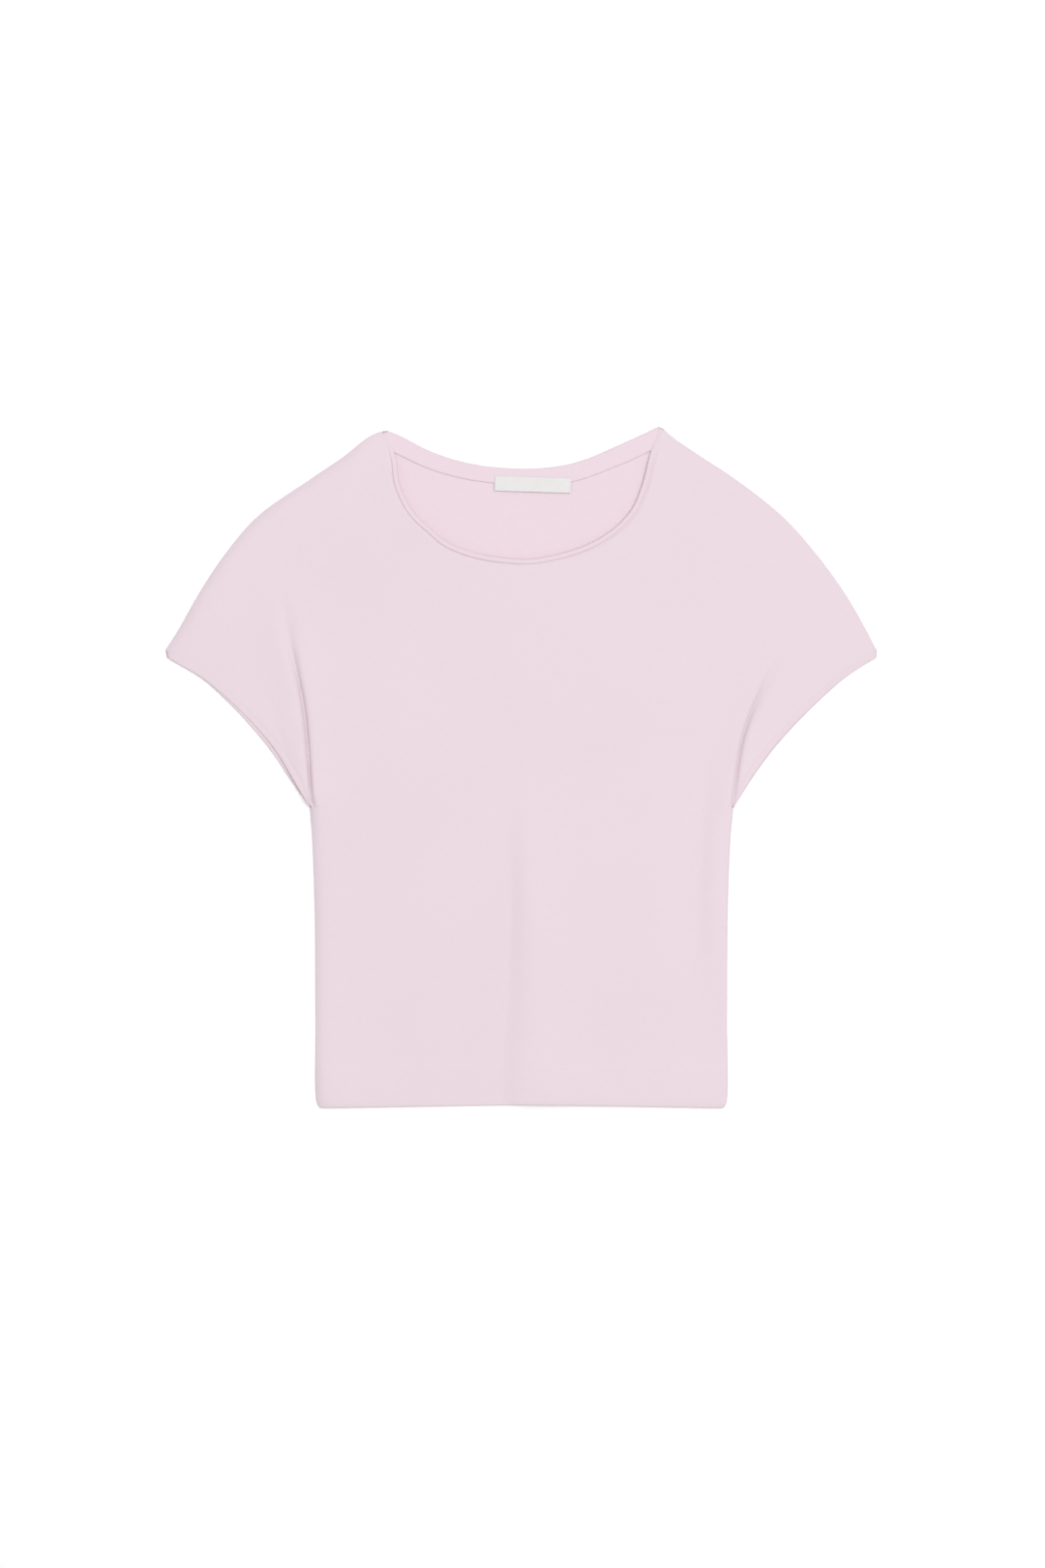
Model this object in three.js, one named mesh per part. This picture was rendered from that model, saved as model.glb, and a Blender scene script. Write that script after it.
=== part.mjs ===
import * as THREE from 'three';

// Crop top of fine jersey with grown-on cap sleeves, laid flat on its back.
// Millimetres: X to the viewer's right, Y from the hem to the neck, Z up from the surface.
// Left and right are the viewer's. The middle of the lying garment is the origin.

const { lerp, smoothstep, clamp } = THREE.MathUtils;

// Cloth thicknesses and the clearance between sewn pieces
const wall = 1.2;
const seamGap = 0.3;
const hemDepth = 31;
const hemTurnUp = 0.4;
const hemLineWidth = 3;

// Widths and thicknesses of the finishing strips
const neckBindingWidth = 4.3;
const neckBindingWall = 1.9;
const cuffBindingWidth = 5;
const cuffBindingWall = 1.5;
const neckBandWall = 1;
const labelSize = { width: 61, depth: 12, thickness: 1 };
const labelPlace = { x: 9.3, y: 225.3, tilt: -1.7 };

// How far the front's left cuff lies back from the edge of the back's cuff
const cuffSetback = { left: 3, right: 0 };

// Outline of the lying garment: the X of its two edges at each height.
const neckPoint = { left: { x: -106, y: 268 }, right: { x: 109, y: 271 } };
const shoulderRows = [
  { y: 267.3, left: -112.5, right: 115.6 },
  { y: 262, left: -123, right: 122 },
  { y: 248, left: -140.5, right: 142.5 },
  { y: 230, left: -167, right: 170 },
  { y: 200, left: -209.5, right: 208 },
  { y: 170, left: -235.5, right: 235 },
  { y: 140, left: -255.5, right: 257 },
  { y: 110, left: -272.5, right: 274.5 },
  { y: 93.5, left: -283, right: 283 },
];
const underarmHeight = -32;
const cuffRows = [
  { y: 87.5, left: -281.5, right: 282.5 },
  { y: 80, left: -268.5, right: 270 },
  { y: 70, left: -253, right: 256 },
  { y: 50, left: -231, right: 234 },
  { y: 30, left: -212.5, right: 214.5 },
  { y: 10, left: -196.5, right: 197.5 },
  { y: -10, left: -183.5, right: 183 },
  { y: underarmHeight, left: -168, right: 169 },
];
const sideRows = [
  { y: underarmHeight, left: -168, right: 169 },
  { y: -60, left: -166, right: 166.5 },
  { y: -120, left: -164, right: 164.5 },
  { y: -200, left: -163.5, right: 164 },
  { y: -268, left: -162.3, right: 163.3 },
  { y: -271, left: -160, right: 161 },
];
const hemMiddle = { x: 5, y: -268.5 };

// Front neckline: its finished edge on both sides at each height, down to its lowest point.
const frontNeckRows = [
  { y: 254, left: -102, right: 104 },
  { y: 244, left: -99.3, right: 101.3 },
  { y: 226, left: -97, right: 96.8 },
  { y: 208, left: -89, right: 89.7 },
  { y: 198, left: -81, right: 82.3 },
  { y: 190, left: -72, right: 73.8 },
  { y: 180, left: -60, right: 58.5 },
  { y: 172.5, left: -43, right: 40 },
  { y: 168, left: -24, right: 22 },
];
const frontNeckLowest = { x: 5, y: 165.6 };

// Back neckline and the lower edge of the band inside it
const backNeckRows = [
  { x: -95, y: 263.5 },
  { x: -75, y: 253 },
  { x: -55, y: 245.7 },
  { x: -30, y: 240.2 },
  { x: 5, y: 237.9 },
  { x: 35, y: 240.8 },
  { x: 55, y: 246.7 },
  { x: 75, y: 255.3 },
  { x: 95, y: 264.3 },
];
const neckBandSeamRows = [
  { x: -100.3, y: 250.3 },
  { x: -73, y: 237.6 },
  { x: -40, y: 228.8 },
  { x: 5, y: 224.9 },
  { x: 40, y: 227.2 },
  { x: 77, y: 240 },
  { x: 102.6, y: 251.6 },
];
const neckBandEndClearance = 1.2;
const underarmClearance = 0.4;

// Lift of the front over the back: even in the middle, fuller beside folded and sewn edges.
const restLift = 1.2;
const restReach = 7;
const edgePuff = 0.9;
const edgePuffReach = 8;
const edgeRounding = 3;
const edgeRoundingDepth = 0.55;
const pressedSoftness = 0.35;

// Folds of the front: three points along each, its half width at both ends and its height. A trough
// lies between two lips, a swell is a plain rise, and a step is higher to the viewer's right. A fold
// that runs out over an edge stays open there.
const folds = [
  { name: 'left underarm crease', kind: 'trough', ax: -193, ay: 140, bx: -177.5, by: 72, cx: -166.5, cy: -33,
    widthA: 15, widthC: 5, height: 2, runsOut: true },
  { name: 'left sleeve swell', kind: 'swell', ax: -206, ay: 150, bx: -192, by: 80, cx: -181, cy: 8,
    widthA: 15, widthC: 8, height: 1.1, runsOut: false },
  { name: 'right underarm crease', kind: 'trough', ax: 198, ay: 76, bx: 180, by: 31, cx: 168.5, cy: -31,
    widthA: 11, widthC: 5, height: 1.5, runsOut: true },
  { name: 'right sleeve swell', kind: 'swell', ax: 210, ay: 92, bx: 194, by: 42, cx: 183, cy: 2,
    widthA: 12, widthC: 8, height: 0.7, runsOut: false },
  { name: 'middle step', kind: 'step', ax: -3, ay: 5, bx: -3, by: -150, cx: -10, cy: -272,
    widthA: 7, widthC: 17, height: 1, runsOut: true },
  { name: 'right body step', kind: 'step', ax: 157, ay: 40, bx: 148, by: -65, cx: 146, cy: -190,
    widthA: 8, widthC: 9, height: 0.6, runsOut: false },
];
const lipReach = 2.5;
const lipShare = 0.9;
const stepReach = 3.2;
const fadeIn = 0.45;
const fadeOut = 0.35;

// Fineness of the solids: rows along each stretch of edge, columns from the middle to an edge
const cuffSteps = 22;
const neckSteps = 22;
const frontFineness = { hem: 4, side: 14, cuff: cuffSteps, sleeve: 6, neck: neckSteps, columns: 16 };
const backFineness = { hem: 3, side: 8, cuff: cuffSteps, sleeve: 5, neck: 8, columns: 8 };
const neckBandSteps = 46;
const hemRowCrowding = 1.6;
const curveDetail = 16;
const cuffDetail = 68;
const flatColumn = 17;
const bentColumn = 4.5;
const columnProbes = 80;

const cloth = new THREE.MeshStandardMaterial({ color: 0xecdbe3, roughness: 0.88, metalness: 0 });
const bindingCloth = new THREE.MeshStandardMaterial({ color: 0xebd9e2, roughness: 0.86, metalness: 0 });
const insideCloth = new THREE.MeshStandardMaterial({ color: 0xf2dee7, roughness: 0.9, metalness: 0 });
const labelCloth = new THREE.MeshStandardMaterial({ color: 0xe9e8e7, roughness: 0.55, metalness: 0 });

// A smooth line through the given places.
function lineThrough(places) {
  const points = places.map((place) => new THREE.Vector3(place.x, place.y, 0));
  return new THREE.CatmullRomCurve3(points, false, 'centripetal');
}

// One side of a table of rows as places.
function sidePlaces(rows, side) {
  return rows.map((row) => ({ x: row[side], y: row.y }));
}

// Moves each point of a line sideways, to the left of its direction for a positive distance.
function besideLine(points, distance) {
  return points.map((point, i) => {
    const before = points[Math.max(i - 1, 0)];
    const after = points[Math.min(i + 1, points.length - 1)];
    const along = after.clone().sub(before).normalize();
    const reach = typeof distance === 'function' ? distance(i / (points.length - 1)) : distance;
    return new THREE.Vector3(point.x - along.y * reach, point.y + along.x * reach, 0);
  });
}

// Distance from a place to a line, how far along the line its nearest point is, from 0 to 1, and
// the side it lies on: 1 to the left of the line's direction, -1 to the right.
function nearestOnLine(points, x, y) {
  let best = { distance: Infinity, along: 0, side: 1 };
  for (let i = 0; i + 1 < points.length; i += 1) {
    const a = points[i];
    const b = points[i + 1];
    const lengthSquared = (b.x - a.x) ** 2 + (b.y - a.y) ** 2;
    const t = clamp(((x - a.x) * (b.x - a.x) + (y - a.y) * (b.y - a.y)) / lengthSquared, 0, 1);
    const distance = Math.hypot(x - lerp(a.x, b.x, t), y - lerp(a.y, b.y, t));
    if (distance >= best.distance) continue;
    const turn = (b.x - a.x) * (y - a.y) - (b.y - a.y) * (x - a.x);
    best = { distance, along: (i + t) / (points.length - 1), side: turn < 0 ? -1 : 1 };
  }
  return best;
}

// Edges of the lying garment, each from the neck or the sleeve end downwards
const sides = ['left', 'right'];
const inward = { left: 1, right: -1 };
const shoulder = {};
const cuff = {};
const side = {};
for (const name of sides) {
  shoulder[name] = lineThrough([neckPoint[name], ...sidePlaces(shoulderRows, name)]);
  cuff[name] = lineThrough(sidePlaces(cuffRows, name));
  side[name] = lineThrough(sidePlaces(sideRows, name));
}
const frontNeck = lineThrough([
  neckPoint.left,
  ...sidePlaces(frontNeckRows, 'left'),
  frontNeckLowest,
  ...sidePlaces(frontNeckRows, 'right').reverse(),
  neckPoint.right,
]);
const backNeck = lineThrough([neckPoint.left, ...backNeckRows, neckPoint.right]);

const closedEdges = sides.flatMap((name) => [
  shoulder[name].getPoints(curveDetail * 2),
  side[name].getPoints(curveDetail * 2),
]);
const foldLines = folds.map((fold) => lineThrough([
  { x: fold.ax, y: fold.ay },
  { x: fold.bx, y: fold.by },
  { x: fold.cx, y: fold.cy },
]).getPoints(curveDetail));

function distanceToClosedEdge(x, y) {
  return Math.min(...closedEdges.map((edge) => nearestOnLine(edge, x, y).distance));
}

const bell = (across) => Math.exp(-across * across);
const foldShapes = {
  trough: (across) => lipShare * bell(across / lipReach) - bell(across),
  swell: bell,
  step: (across) => Math.tanh(across) * bell(across / stepReach),
};

// Height that one fold adds at a place.
function foldHeight(fold, line, x, y) {
  const { distance, along, side: sideOfLine } = nearestOnLine(line, x, y);
  const across = (sideOfLine * distance) / lerp(fold.widthA, fold.widthC, along);
  const start = smoothstep(along, 0, fadeIn);
  const finish = fold.runsOut ? 1 : smoothstep(1 - along, 0, fadeOut);
  return fold.height * foldShapes[fold.kind](across) * start * finish;
}

// Keeps a height above zero with a rounded corner instead of a kink.
function softlyAboveZero(height) {
  return (height + Math.hypot(height, pressedSoftness)) / 2;
}

// Gap that opens between the back and the front above their seam clearance.
function frontLift(x, y) {
  const fromEdge = distanceToClosedEdge(x, y);
  const rest = restLift * (1 - Math.exp(-fromEdge / restReach));
  const puff = edgePuff * (fromEdge / edgePuffReach) * Math.exp(1 - fromEdge / edgePuffReach);
  const folded = folds.reduce((sum, fold, i) => sum + foldHeight(fold, foldLines[i], x, y), 0);
  return softlyAboveZero(rest + puff + folded);
}

// Extra thickness of the turned-up hem, which steps down at its stitching line.
function hemExtra(y) {
  const stitchLine = hemMiddle.y + hemDepth;
  return hemTurnUp * (1 - smoothstep(y, stitchLine - hemLineWidth / 2, stitchLine + hemLineWidth / 2));
}

const backTop = (x, y) => wall + hemExtra(y);
const frontUnder = (x, y) => backTop(x, y) + seamGap + frontLift(x, y);

function frontTop(x, y) {
  const fromEdge = Math.min(distanceToClosedEdge(x, y) / edgeRounding, 1);
  const rounding = edgeRoundingDepth * (1 - Math.sqrt(1 - (1 - fromEdge) ** 2));
  return frontUnder(x, y) + wall + hemExtra(y) - rounding;
}

// Edge of the front's or the back's cuff on one side, from the sleeve end to the underarm.
function cuffEdge(name, layer, count) {
  const points = cuff[name].getSpacedPoints(count);
  if (layer === 'back') return points;
  const setback = (t) => inward[name] * cuffSetback[name] * Math.sin(Math.PI * t);
  return besideLine(points, setback);
}

// Where the straight lines through two pairs of places cross.
function crossing(a, b, c, d) {
  const turn = (b.x - a.x) * (d.y - c.y) - (b.y - a.y) * (d.x - c.x);
  const share = ((c.x - a.x) * (d.y - c.y) - (c.y - a.y) * (d.x - c.x)) / turn;
  return new THREE.Vector3(lerp(a.x, b.x, share), lerp(a.y, b.y, share), 0);
}

// Line inside a cuff edge at a given width, from where it meets the shoulder edge to the underarm.
function cuffSeam(name, layer, width) {
  const seam = besideLine(cuffEdge(name, layer, cuffDetail), inward[name] * width);
  const edge = shoulder[name];
  seam[0] = crossing(seam[1], seam[2], edge.getPointAt(1 - 1 / cuffDetail), edge.getPointAt(1));
  return lineThrough(seam);
}

// Places up the outer edge of half a panel, from the hem corner to the neck.
function outerPath(name, layer, fineness, neckEnd) {
  const below = lineThrough(side[name].getPoints(curveDetail * 5).reverse());
  const hemShare = hemDepth / below.getLength();
  const sideShare = 1 - underarmClearance / below.getLength();
  const path = [];
  for (let i = 0; i < fineness.hem; i += 1) {
    path.push(below.getPointAt(hemShare * (i / fineness.hem) ** hemRowCrowding));
  }
  for (let i = 0; i <= fineness.side; i += 1) {
    path.push(below.getPointAt(lerp(hemShare, sideShare, i / fineness.side)));
  }
  const seam = cuffSeam(name, layer, cuffBindingWidth + seamGap);
  const underarm = seam.getPointAt(1);
  underarm.addScaledVector(seam.getTangentAt(1), seamGap);
  path.push(underarm);
  for (let i = 1; i <= fineness.cuff; i += 1) path.push(seam.getPointAt(1 - i / fineness.cuff));
  const sleeveEnd = path[path.length - 1];
  const kept = shoulder[name].getSpacedPoints(curveDetail * 5).filter((point) => (
    point.y > sleeveEnd.y + seamGap && inward[name] * (point.x - neckEnd.x) < -seamGap
  ));
  const upper = lineThrough([neckEnd, ...kept, sleeveEnd]);
  const count = fineness.sleeve + fineness.neck;
  for (let i = 1; i <= count; i += 1) path.push(upper.getPointAt(1 - i / count));
  return path;
}

// Places up the inner edge of half a panel: the middle line, then the steps of the neckline.
function innerPath(neckline, fineness) {
  const middleRows = [
    { rows: fineness.hem, from: hemMiddle.y, to: hemMiddle.y + hemDepth, crowding: hemRowCrowding },
    { rows: fineness.side, from: hemMiddle.y + hemDepth, to: underarmHeight, crowding: 1 },
    { rows: fineness.cuff + fineness.sleeve + 2, from: underarmHeight, to: neckline[0].y, crowding: 1 },
  ];
  const path = [];
  for (const { rows, from, to, crowding } of middleRows) {
    for (let i = 0; i < rows; i += 1) {
      path.push(new THREE.Vector3(hemMiddle.x, lerp(from, to, (i / rows) ** crowding), 0));
    }
  }
  path.push(...neckline);
  return path;
}

// Columns across one row: they crowd where the cloth bends, at its edges and folds.
function rowAcross(inner, outer, columns) {
  const probes = [];
  let total = 0;
  for (let i = 0; i <= columnProbes; i += 1) {
    const place = inner.clone().lerp(outer, i / columnProbes);
    const fromEdge = distanceToClosedEdge(place.x, place.y) / edgePuffReach;
    let bend = Math.exp(-fromEdge);
    folds.forEach((fold, k) => {
      const { distance, along } = nearestOnLine(foldLines[k], place.x, place.y);
      const reach = 2 * lerp(fold.widthA, fold.widthC, along);
      bend = Math.max(bend, Math.exp(-((distance / reach) ** 2)));
    });
    total += 1 / lerp(flatColumn, bentColumn, bend);
    probes.push({ share: i / columnProbes, total });
  }
  const row = [];
  for (let j = 0; j <= columns; j += 1) {
    const wanted = lerp(probes[0].total, total, j / columns);
    const k = Math.max(1, probes.findIndex((probe) => probe.total >= wanted - 1e-9));
    const [a, b] = [probes[k - 1], probes[k]];
    const share = lerp(a.share, b.share, (wanted - a.total) / (b.total - a.total));
    row.push(inner.clone().lerp(outer, share));
  }
  return row;
}

function geometryFrom(positions, triangles) {
  const geometry = new THREE.BufferGeometry();
  geometry.setAttribute('position', new THREE.Float32BufferAttribute(positions, 3));
  geometry.setIndex(triangles);
  geometry.computeVertexNormals();
  return geometry;
}

// A cloth wall over a net of rows: upper face, lower face and a rim round every open edge.
function clothWall(halves, upperHeight, lowerHeight) {
  const places = [];
  const numbers = new Map();
  const numberOf = (place) => {
    const key = `${place.x.toFixed(2)} ${place.y.toFixed(2)}`;
    if (!numbers.has(key)) {
      numbers.set(key, places.length);
      places.push(place);
    }
    return numbers.get(key);
  };
  const faces = [];
  const addFace = (a, b, c, turned) => {
    if (a === b || b === c || c === a) return;
    faces.push(turned ? [a, c, b] : [a, b, c]);
  };
  for (const { rows, turned } of halves) {
    for (let i = 0; i + 1 < rows.length; i += 1) {
      for (let j = 0; j + 1 < rows[i].length; j += 1) {
        const corners = [rows[i][j], rows[i][j + 1], rows[i + 1][j + 1], rows[i + 1][j]];
        const [a, b, c, d] = corners.map(numberOf);
        if (corners[0].distanceTo(corners[2]) <= corners[1].distanceTo(corners[3])) {
          addFace(a, b, c, turned);
          addFace(a, c, d, turned);
        } else {
          addFace(a, b, d, turned);
          addFace(b, c, d, turned);
        }
      }
    }
  }
  const count = places.length;
  const positions = [
    ...places.flatMap(({ x, y }) => [x, y, upperHeight(x, y)]),
    ...places.flatMap(({ x, y }) => [x, y, lowerHeight(x, y)]),
  ];
  const triangles = [];
  const edges = new Set(faces.flatMap(([a, b, c]) => [`${a} ${b}`, `${b} ${c}`, `${c} ${a}`]));
  for (const [a, b, c] of faces) {
    triangles.push(a, b, c, count + a, count + c, count + b);
    for (const [from, to] of [[a, b], [b, c], [c, a]]) {
      if (edges.has(`${to} ${from}`)) continue;
      triangles.push(from, count + from, count + to, from, count + to, to);
    }
  }
  return geometryFrom(positions, triangles);
}

// Skins sections of equal point counts: a ring joins up, a strip gets two flat ends.
function skinSections(sections, isRing) {
  const size = sections[0].length;
  const count = sections.length;
  const positions = sections.flat().flatMap((point) => [point.x, point.y, point.z]);
  const triangles = [];
  for (let i = 0; i < (isRing ? count : count - 1); i += 1) {
    const next = (i + 1) % count;
    for (let k = 0; k < size; k += 1) {
      const other = (k + 1) % size;
      const [a, b, c, d] = [i * size + k, i * size + other, next * size + other, next * size + k];
      triangles.push(a, b, c, a, c, d);
    }
  }
  if (!isRing) {
    const last = (count - 1) * size;
    for (let k = 1; k + 1 < size; k += 1) triangles.push(0, k + 1, k, last, last + k, last + k + 1);
  }
  return geometryFrom(positions, triangles);
}

// Section of a bound edge: a rounded nose on the edge and a square side at the seam.
function bindingSection(edge, seam, under, over, innerEdge = edge, innerSeam = seam) {
  const noseShare = 0.25;
  const at = (a, b, share, z) => new THREE.Vector3(lerp(a.x, b.x, share), lerp(a.y, b.y, share), z);
  return [
    at(edge, seam, 0, (under + over) / 2),
    at(edge, seam, noseShare, over),
    at(edge, seam, 1, over),
    at(innerEdge, innerSeam, 1, under),
    at(innerEdge, innerSeam, noseShare, under),
  ];
}

function piece(name, geometry, material) {
  const mesh = new THREE.Mesh(geometry, material);
  mesh.name = name;
  return mesh;
}

// Front or back: two halves that share the middle line, each ruled from the neck side outwards.
function panel(name, layer, necklines, fineness, upperHeight, lowerHeight, material) {
  const halves = sides.map((half) => {
    const neckline = necklines[half];
    const outer = outerPath(half, layer, fineness, neckline[neckline.length - 1]);
    const inner = innerPath(neckline, fineness);
    const rows = outer.map((end, i) => rowAcross(inner[i], end, fineness.columns));
    return { rows, turned: half === 'left' };
  });
  return piece(name, clothWall(halves, upperHeight, lowerHeight), material);
}

// Splits a neckline at its middle into two lines that climb from there to the neck points.
function splitNeckline(points) {
  const lowest = points.reduce((best, point, i) => (point.y < points[best].y ? i : best), 0);
  points[lowest].x = hemMiddle.x;
  return { left: points.slice(0, lowest + 1).reverse(), right: points.slice(lowest) };
}

// Places along the front neckline, equally many on both sides of its lowest point. The binding and
// the front both step along them, so the seam between the two keeps its width.
function frontNeckPlaces() {
  const lengths = frontNeck.getLengths();
  const lowestShare = lengths[Math.floor(lengths.length / 2)] / lengths[lengths.length - 1];
  const places = [];
  for (let i = 0; i < neckSteps; i += 1) places.push(frontNeck.getPointAt((lowestShare * i) / neckSteps));
  for (let i = 0; i <= neckSteps; i += 1) {
    places.push(frontNeck.getPointAt(lerp(lowestShare, 1, i / neckSteps)));
  }
  return places;
}

function frontPanel() {
  const necklines = splitNeckline(besideLine(frontNeckPlaces(), -(neckBindingWidth + seamGap)));
  return panel('front_panel', 'front', necklines, frontFineness, frontTop, frontUnder, cloth);
}

function backPanel() {
  const necklines = splitNeckline(backNeck.getSpacedPoints(curveDetail * 5));
  for (const name of sides) {
    necklines[name] = lineThrough(necklines[name]).getSpacedPoints(backFineness.neck);
  }
  const floor = () => 0;
  return panel('back_panel', 'back', necklines, backFineness, backTop, floor, insideCloth);
}

// Narrow strip that binds the front neckline and lies over the back.
function frontNeckBinding() {
  const edge = frontNeckPlaces();
  const seam = besideLine(edge, -neckBindingWidth);
  const sections = edge.map((point, i) => {
    const under = frontUnder(seam[i].x, seam[i].y);
    return bindingSection(point, seam[i], under, under + neckBindingWall);
  });
  return piece('front_neck_binding', skinSections(sections, false), bindingCloth);
}

// Deeper band inside the back neckline, lying on the back's inner face.
function backNeckBand() {
  const neckline = backNeck.getSpacedPoints(curveDetail * 5);
  const inside = neckline.filter((point) => (
    point.x > neckPoint.left.x + neckBandEndClearance && point.x < neckPoint.right.x - neckBandEndClearance
  ));
  const edge = lineThrough(inside).getSpacedPoints(neckBandSteps);
  const seam = lineThrough(neckBandSeamRows).getSpacedPoints(neckBandSteps);
  const under = wall + seamGap;
  const sections = edge.map((point, i) => (
    bindingSection(seam[i], point, under, under + neckBandWall).reverse()
  ));
  return piece('back_neck_band', skinSections(sections, false), insideCloth);
}

// One binding runs round the sleeve opening, so it lies as a flattened ring: over the front, round the
// sleeve end, back under the back and round the underarm.
function cuffBinding(name) {
  const inset = (line, i) => {
    const next = line[i === 0 ? 1 : i - 1];
    const turnsHere = i === 0 || i === line.length - 1;
    return turnsHere ? line[i].clone().lerp(next, wall / line[i].distanceTo(next)) : line[i];
  };
  const layerSections = (layer) => {
    const edge = cuffEdge(name, layer, cuffSteps);
    const seam = cuffSeam(name, layer, cuffBindingWidth).getSpacedPoints(cuffSteps);
    return edge.map((point, i) => {
      const under = layer === 'back' ? wall : frontUnder(seam[i].x, seam[i].y);
      const over = layer === 'back' ? 0 : under + cuffBindingWall;
      return bindingSection(point, seam[i], under, over, inset(edge, i), inset(seam, i));
    });
  };
  const loop = [...layerSections('front'), ...layerSections('back').reverse()];
  if (name === 'left') loop.forEach((section) => section.reverse());
  return piece(`cuff_binding_${name}`, skinSections(loop, true), bindingCloth);
}

// Bare label, sewn over the lower edge of the neck band.
function blankLabel() {
  const { width, depth, thickness } = labelSize;
  const label = piece('label_blank', new THREE.BoxGeometry(width, depth, thickness), labelCloth);
  const under = wall + seamGap + neckBandWall + seamGap;
  label.position.set(labelPlace.x, labelPlace.y, under + thickness / 2);
  label.rotation.z = THREE.MathUtils.degToRad(labelPlace.tilt);
  return label;
}

const cropTop = new THREE.Group();
cropTop.add(
  backPanel(),
  frontPanel(),
  frontNeckBinding(),
  backNeckBand(),
  cuffBinding('left'),
  cuffBinding('right'),
  blankLabel(),
);

export default cropTop;
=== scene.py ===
# %% [markdown]
# A crop top, laid flat
#
# The real piece is a close-fitting top of fine pale pink jersey. Its cap sleeves are cut in one with
# the front and the back, its neck and sleeve openings are bound with narrow strips of the same jersey,
# and its hem is turned up once. It lies on its back, so the front covers the back, and only the neck
# shows the inside.
#
# Cloth could be draped by a simulation, but a garment that someone has smoothed out by hand has a few
# soft creases in known places. So each piece is drawn here as a thin shell over its own outline, and a
# short table of folds gives the heights.

# %% Load the solid model
import math

import bmesh
import bpy
import numpy as np
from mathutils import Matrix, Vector


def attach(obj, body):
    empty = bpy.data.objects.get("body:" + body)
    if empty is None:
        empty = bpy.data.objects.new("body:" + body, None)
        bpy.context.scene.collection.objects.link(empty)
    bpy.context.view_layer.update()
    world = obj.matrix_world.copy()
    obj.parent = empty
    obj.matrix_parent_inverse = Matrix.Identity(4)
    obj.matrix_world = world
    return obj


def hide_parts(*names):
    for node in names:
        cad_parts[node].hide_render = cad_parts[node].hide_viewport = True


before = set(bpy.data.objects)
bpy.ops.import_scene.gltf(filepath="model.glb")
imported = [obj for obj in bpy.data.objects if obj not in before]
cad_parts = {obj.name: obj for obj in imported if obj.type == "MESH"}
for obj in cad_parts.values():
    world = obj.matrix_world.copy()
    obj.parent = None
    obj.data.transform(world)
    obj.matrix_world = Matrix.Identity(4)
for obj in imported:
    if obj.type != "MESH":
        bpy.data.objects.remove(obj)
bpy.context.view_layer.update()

# %% [markdown]
# The outline
#
# A pattern cutter works in millimetres, so the tables below do too, and MM turns them into Blender's
# metres at the very end. A row gives the height of a place above the middle of the garment, and then
# where the left and the right edge lie at that height. Left and right are the viewer's.

# %% Edges of the lying garment, in millimetres
MM = 0.001
SIDES = ("left", "right")
INWARD = {"left": 1, "right": -1}
NECK_POINT = {"left": (-106, 268), "right": (109, 271)}
SHOULDER_ROWS = [
    (267.3, -112.5, 115.6), (262, -123, 122), (248, -140.5, 142.5), (230, -167, 170),
    (200, -209.5, 208), (170, -235.5, 235), (140, -255.5, 257), (110, -272.5, 274.5),
    (93.5, -283, 283),
]
UNDERARM_HEIGHT = -32
CUFF_ROWS = [
    (87.5, -281.5, 282.5), (80, -268.5, 270), (70, -253, 256), (50, -231, 234),
    (30, -212.5, 214.5), (10, -196.5, 197.5), (-10, -183.5, 183), (UNDERARM_HEIGHT, -168, 169),
]
SIDE_ROWS = [
    (UNDERARM_HEIGHT, -168, 169), (-60, -166, 166.5), (-120, -164, 164.5), (-200, -163.5, 164),
    (-268, -162.3, 163.3), (-271, -160, 161),
]
HEM_MIDDLE = (5, -268.5)
FRONT_NECK_ROWS = [
    (254, -102, 104), (244, -99.3, 101.3), (226, -97, 96.8), (208, -89, 89.7), (198, -81, 82.3),
    (190, -72, 73.8), (180, -60, 58.5), (172.5, -43, 40), (168, -24, 22),
]
FRONT_NECK_LOWEST = (5, 165.6)
BACK_NECK_PLACES = [
    (-95, 263.5), (-75, 253), (-55, 245.7), (-30, 240.2), (5, 237.9), (35, 240.8), (55, 246.7),
    (75, 255.3), (95, 264.3),
]
NECK_BAND_SEAM_PLACES = [
    (-100.3, 250.3), (-73, 237.6), (-40, 228.8), (5, 224.9), (40, 227.2), (77, 240), (102.6, 251.6),
]

# %% [markdown]
# Smooth lines through few points
#
# A drawn edge needs only the points where its bend changes. A centripetal Catmull-Rom curve passes
# through every one of them without overshooting, and evenly spaced points along it make even rows of
# faces. Blender's own curve objects could do the same, but a small function on plain arrays keeps the
# edge at hand for measuring distances later.

# %% Line tools
CURVE_SAMPLES = 24
LINE_POINTS = 64


def spaced(points, count):
    """Points at equal steps along a line of points."""
    steps = np.linalg.norm(np.diff(points, axis=0), axis=1)
    along = np.concatenate([[0], np.cumsum(steps)])
    wanted = np.linspace(0, along[-1], count + 1)
    return np.stack([np.interp(wanted, along, points[:, k]) for k in (0, 1)], axis=1)


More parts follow.
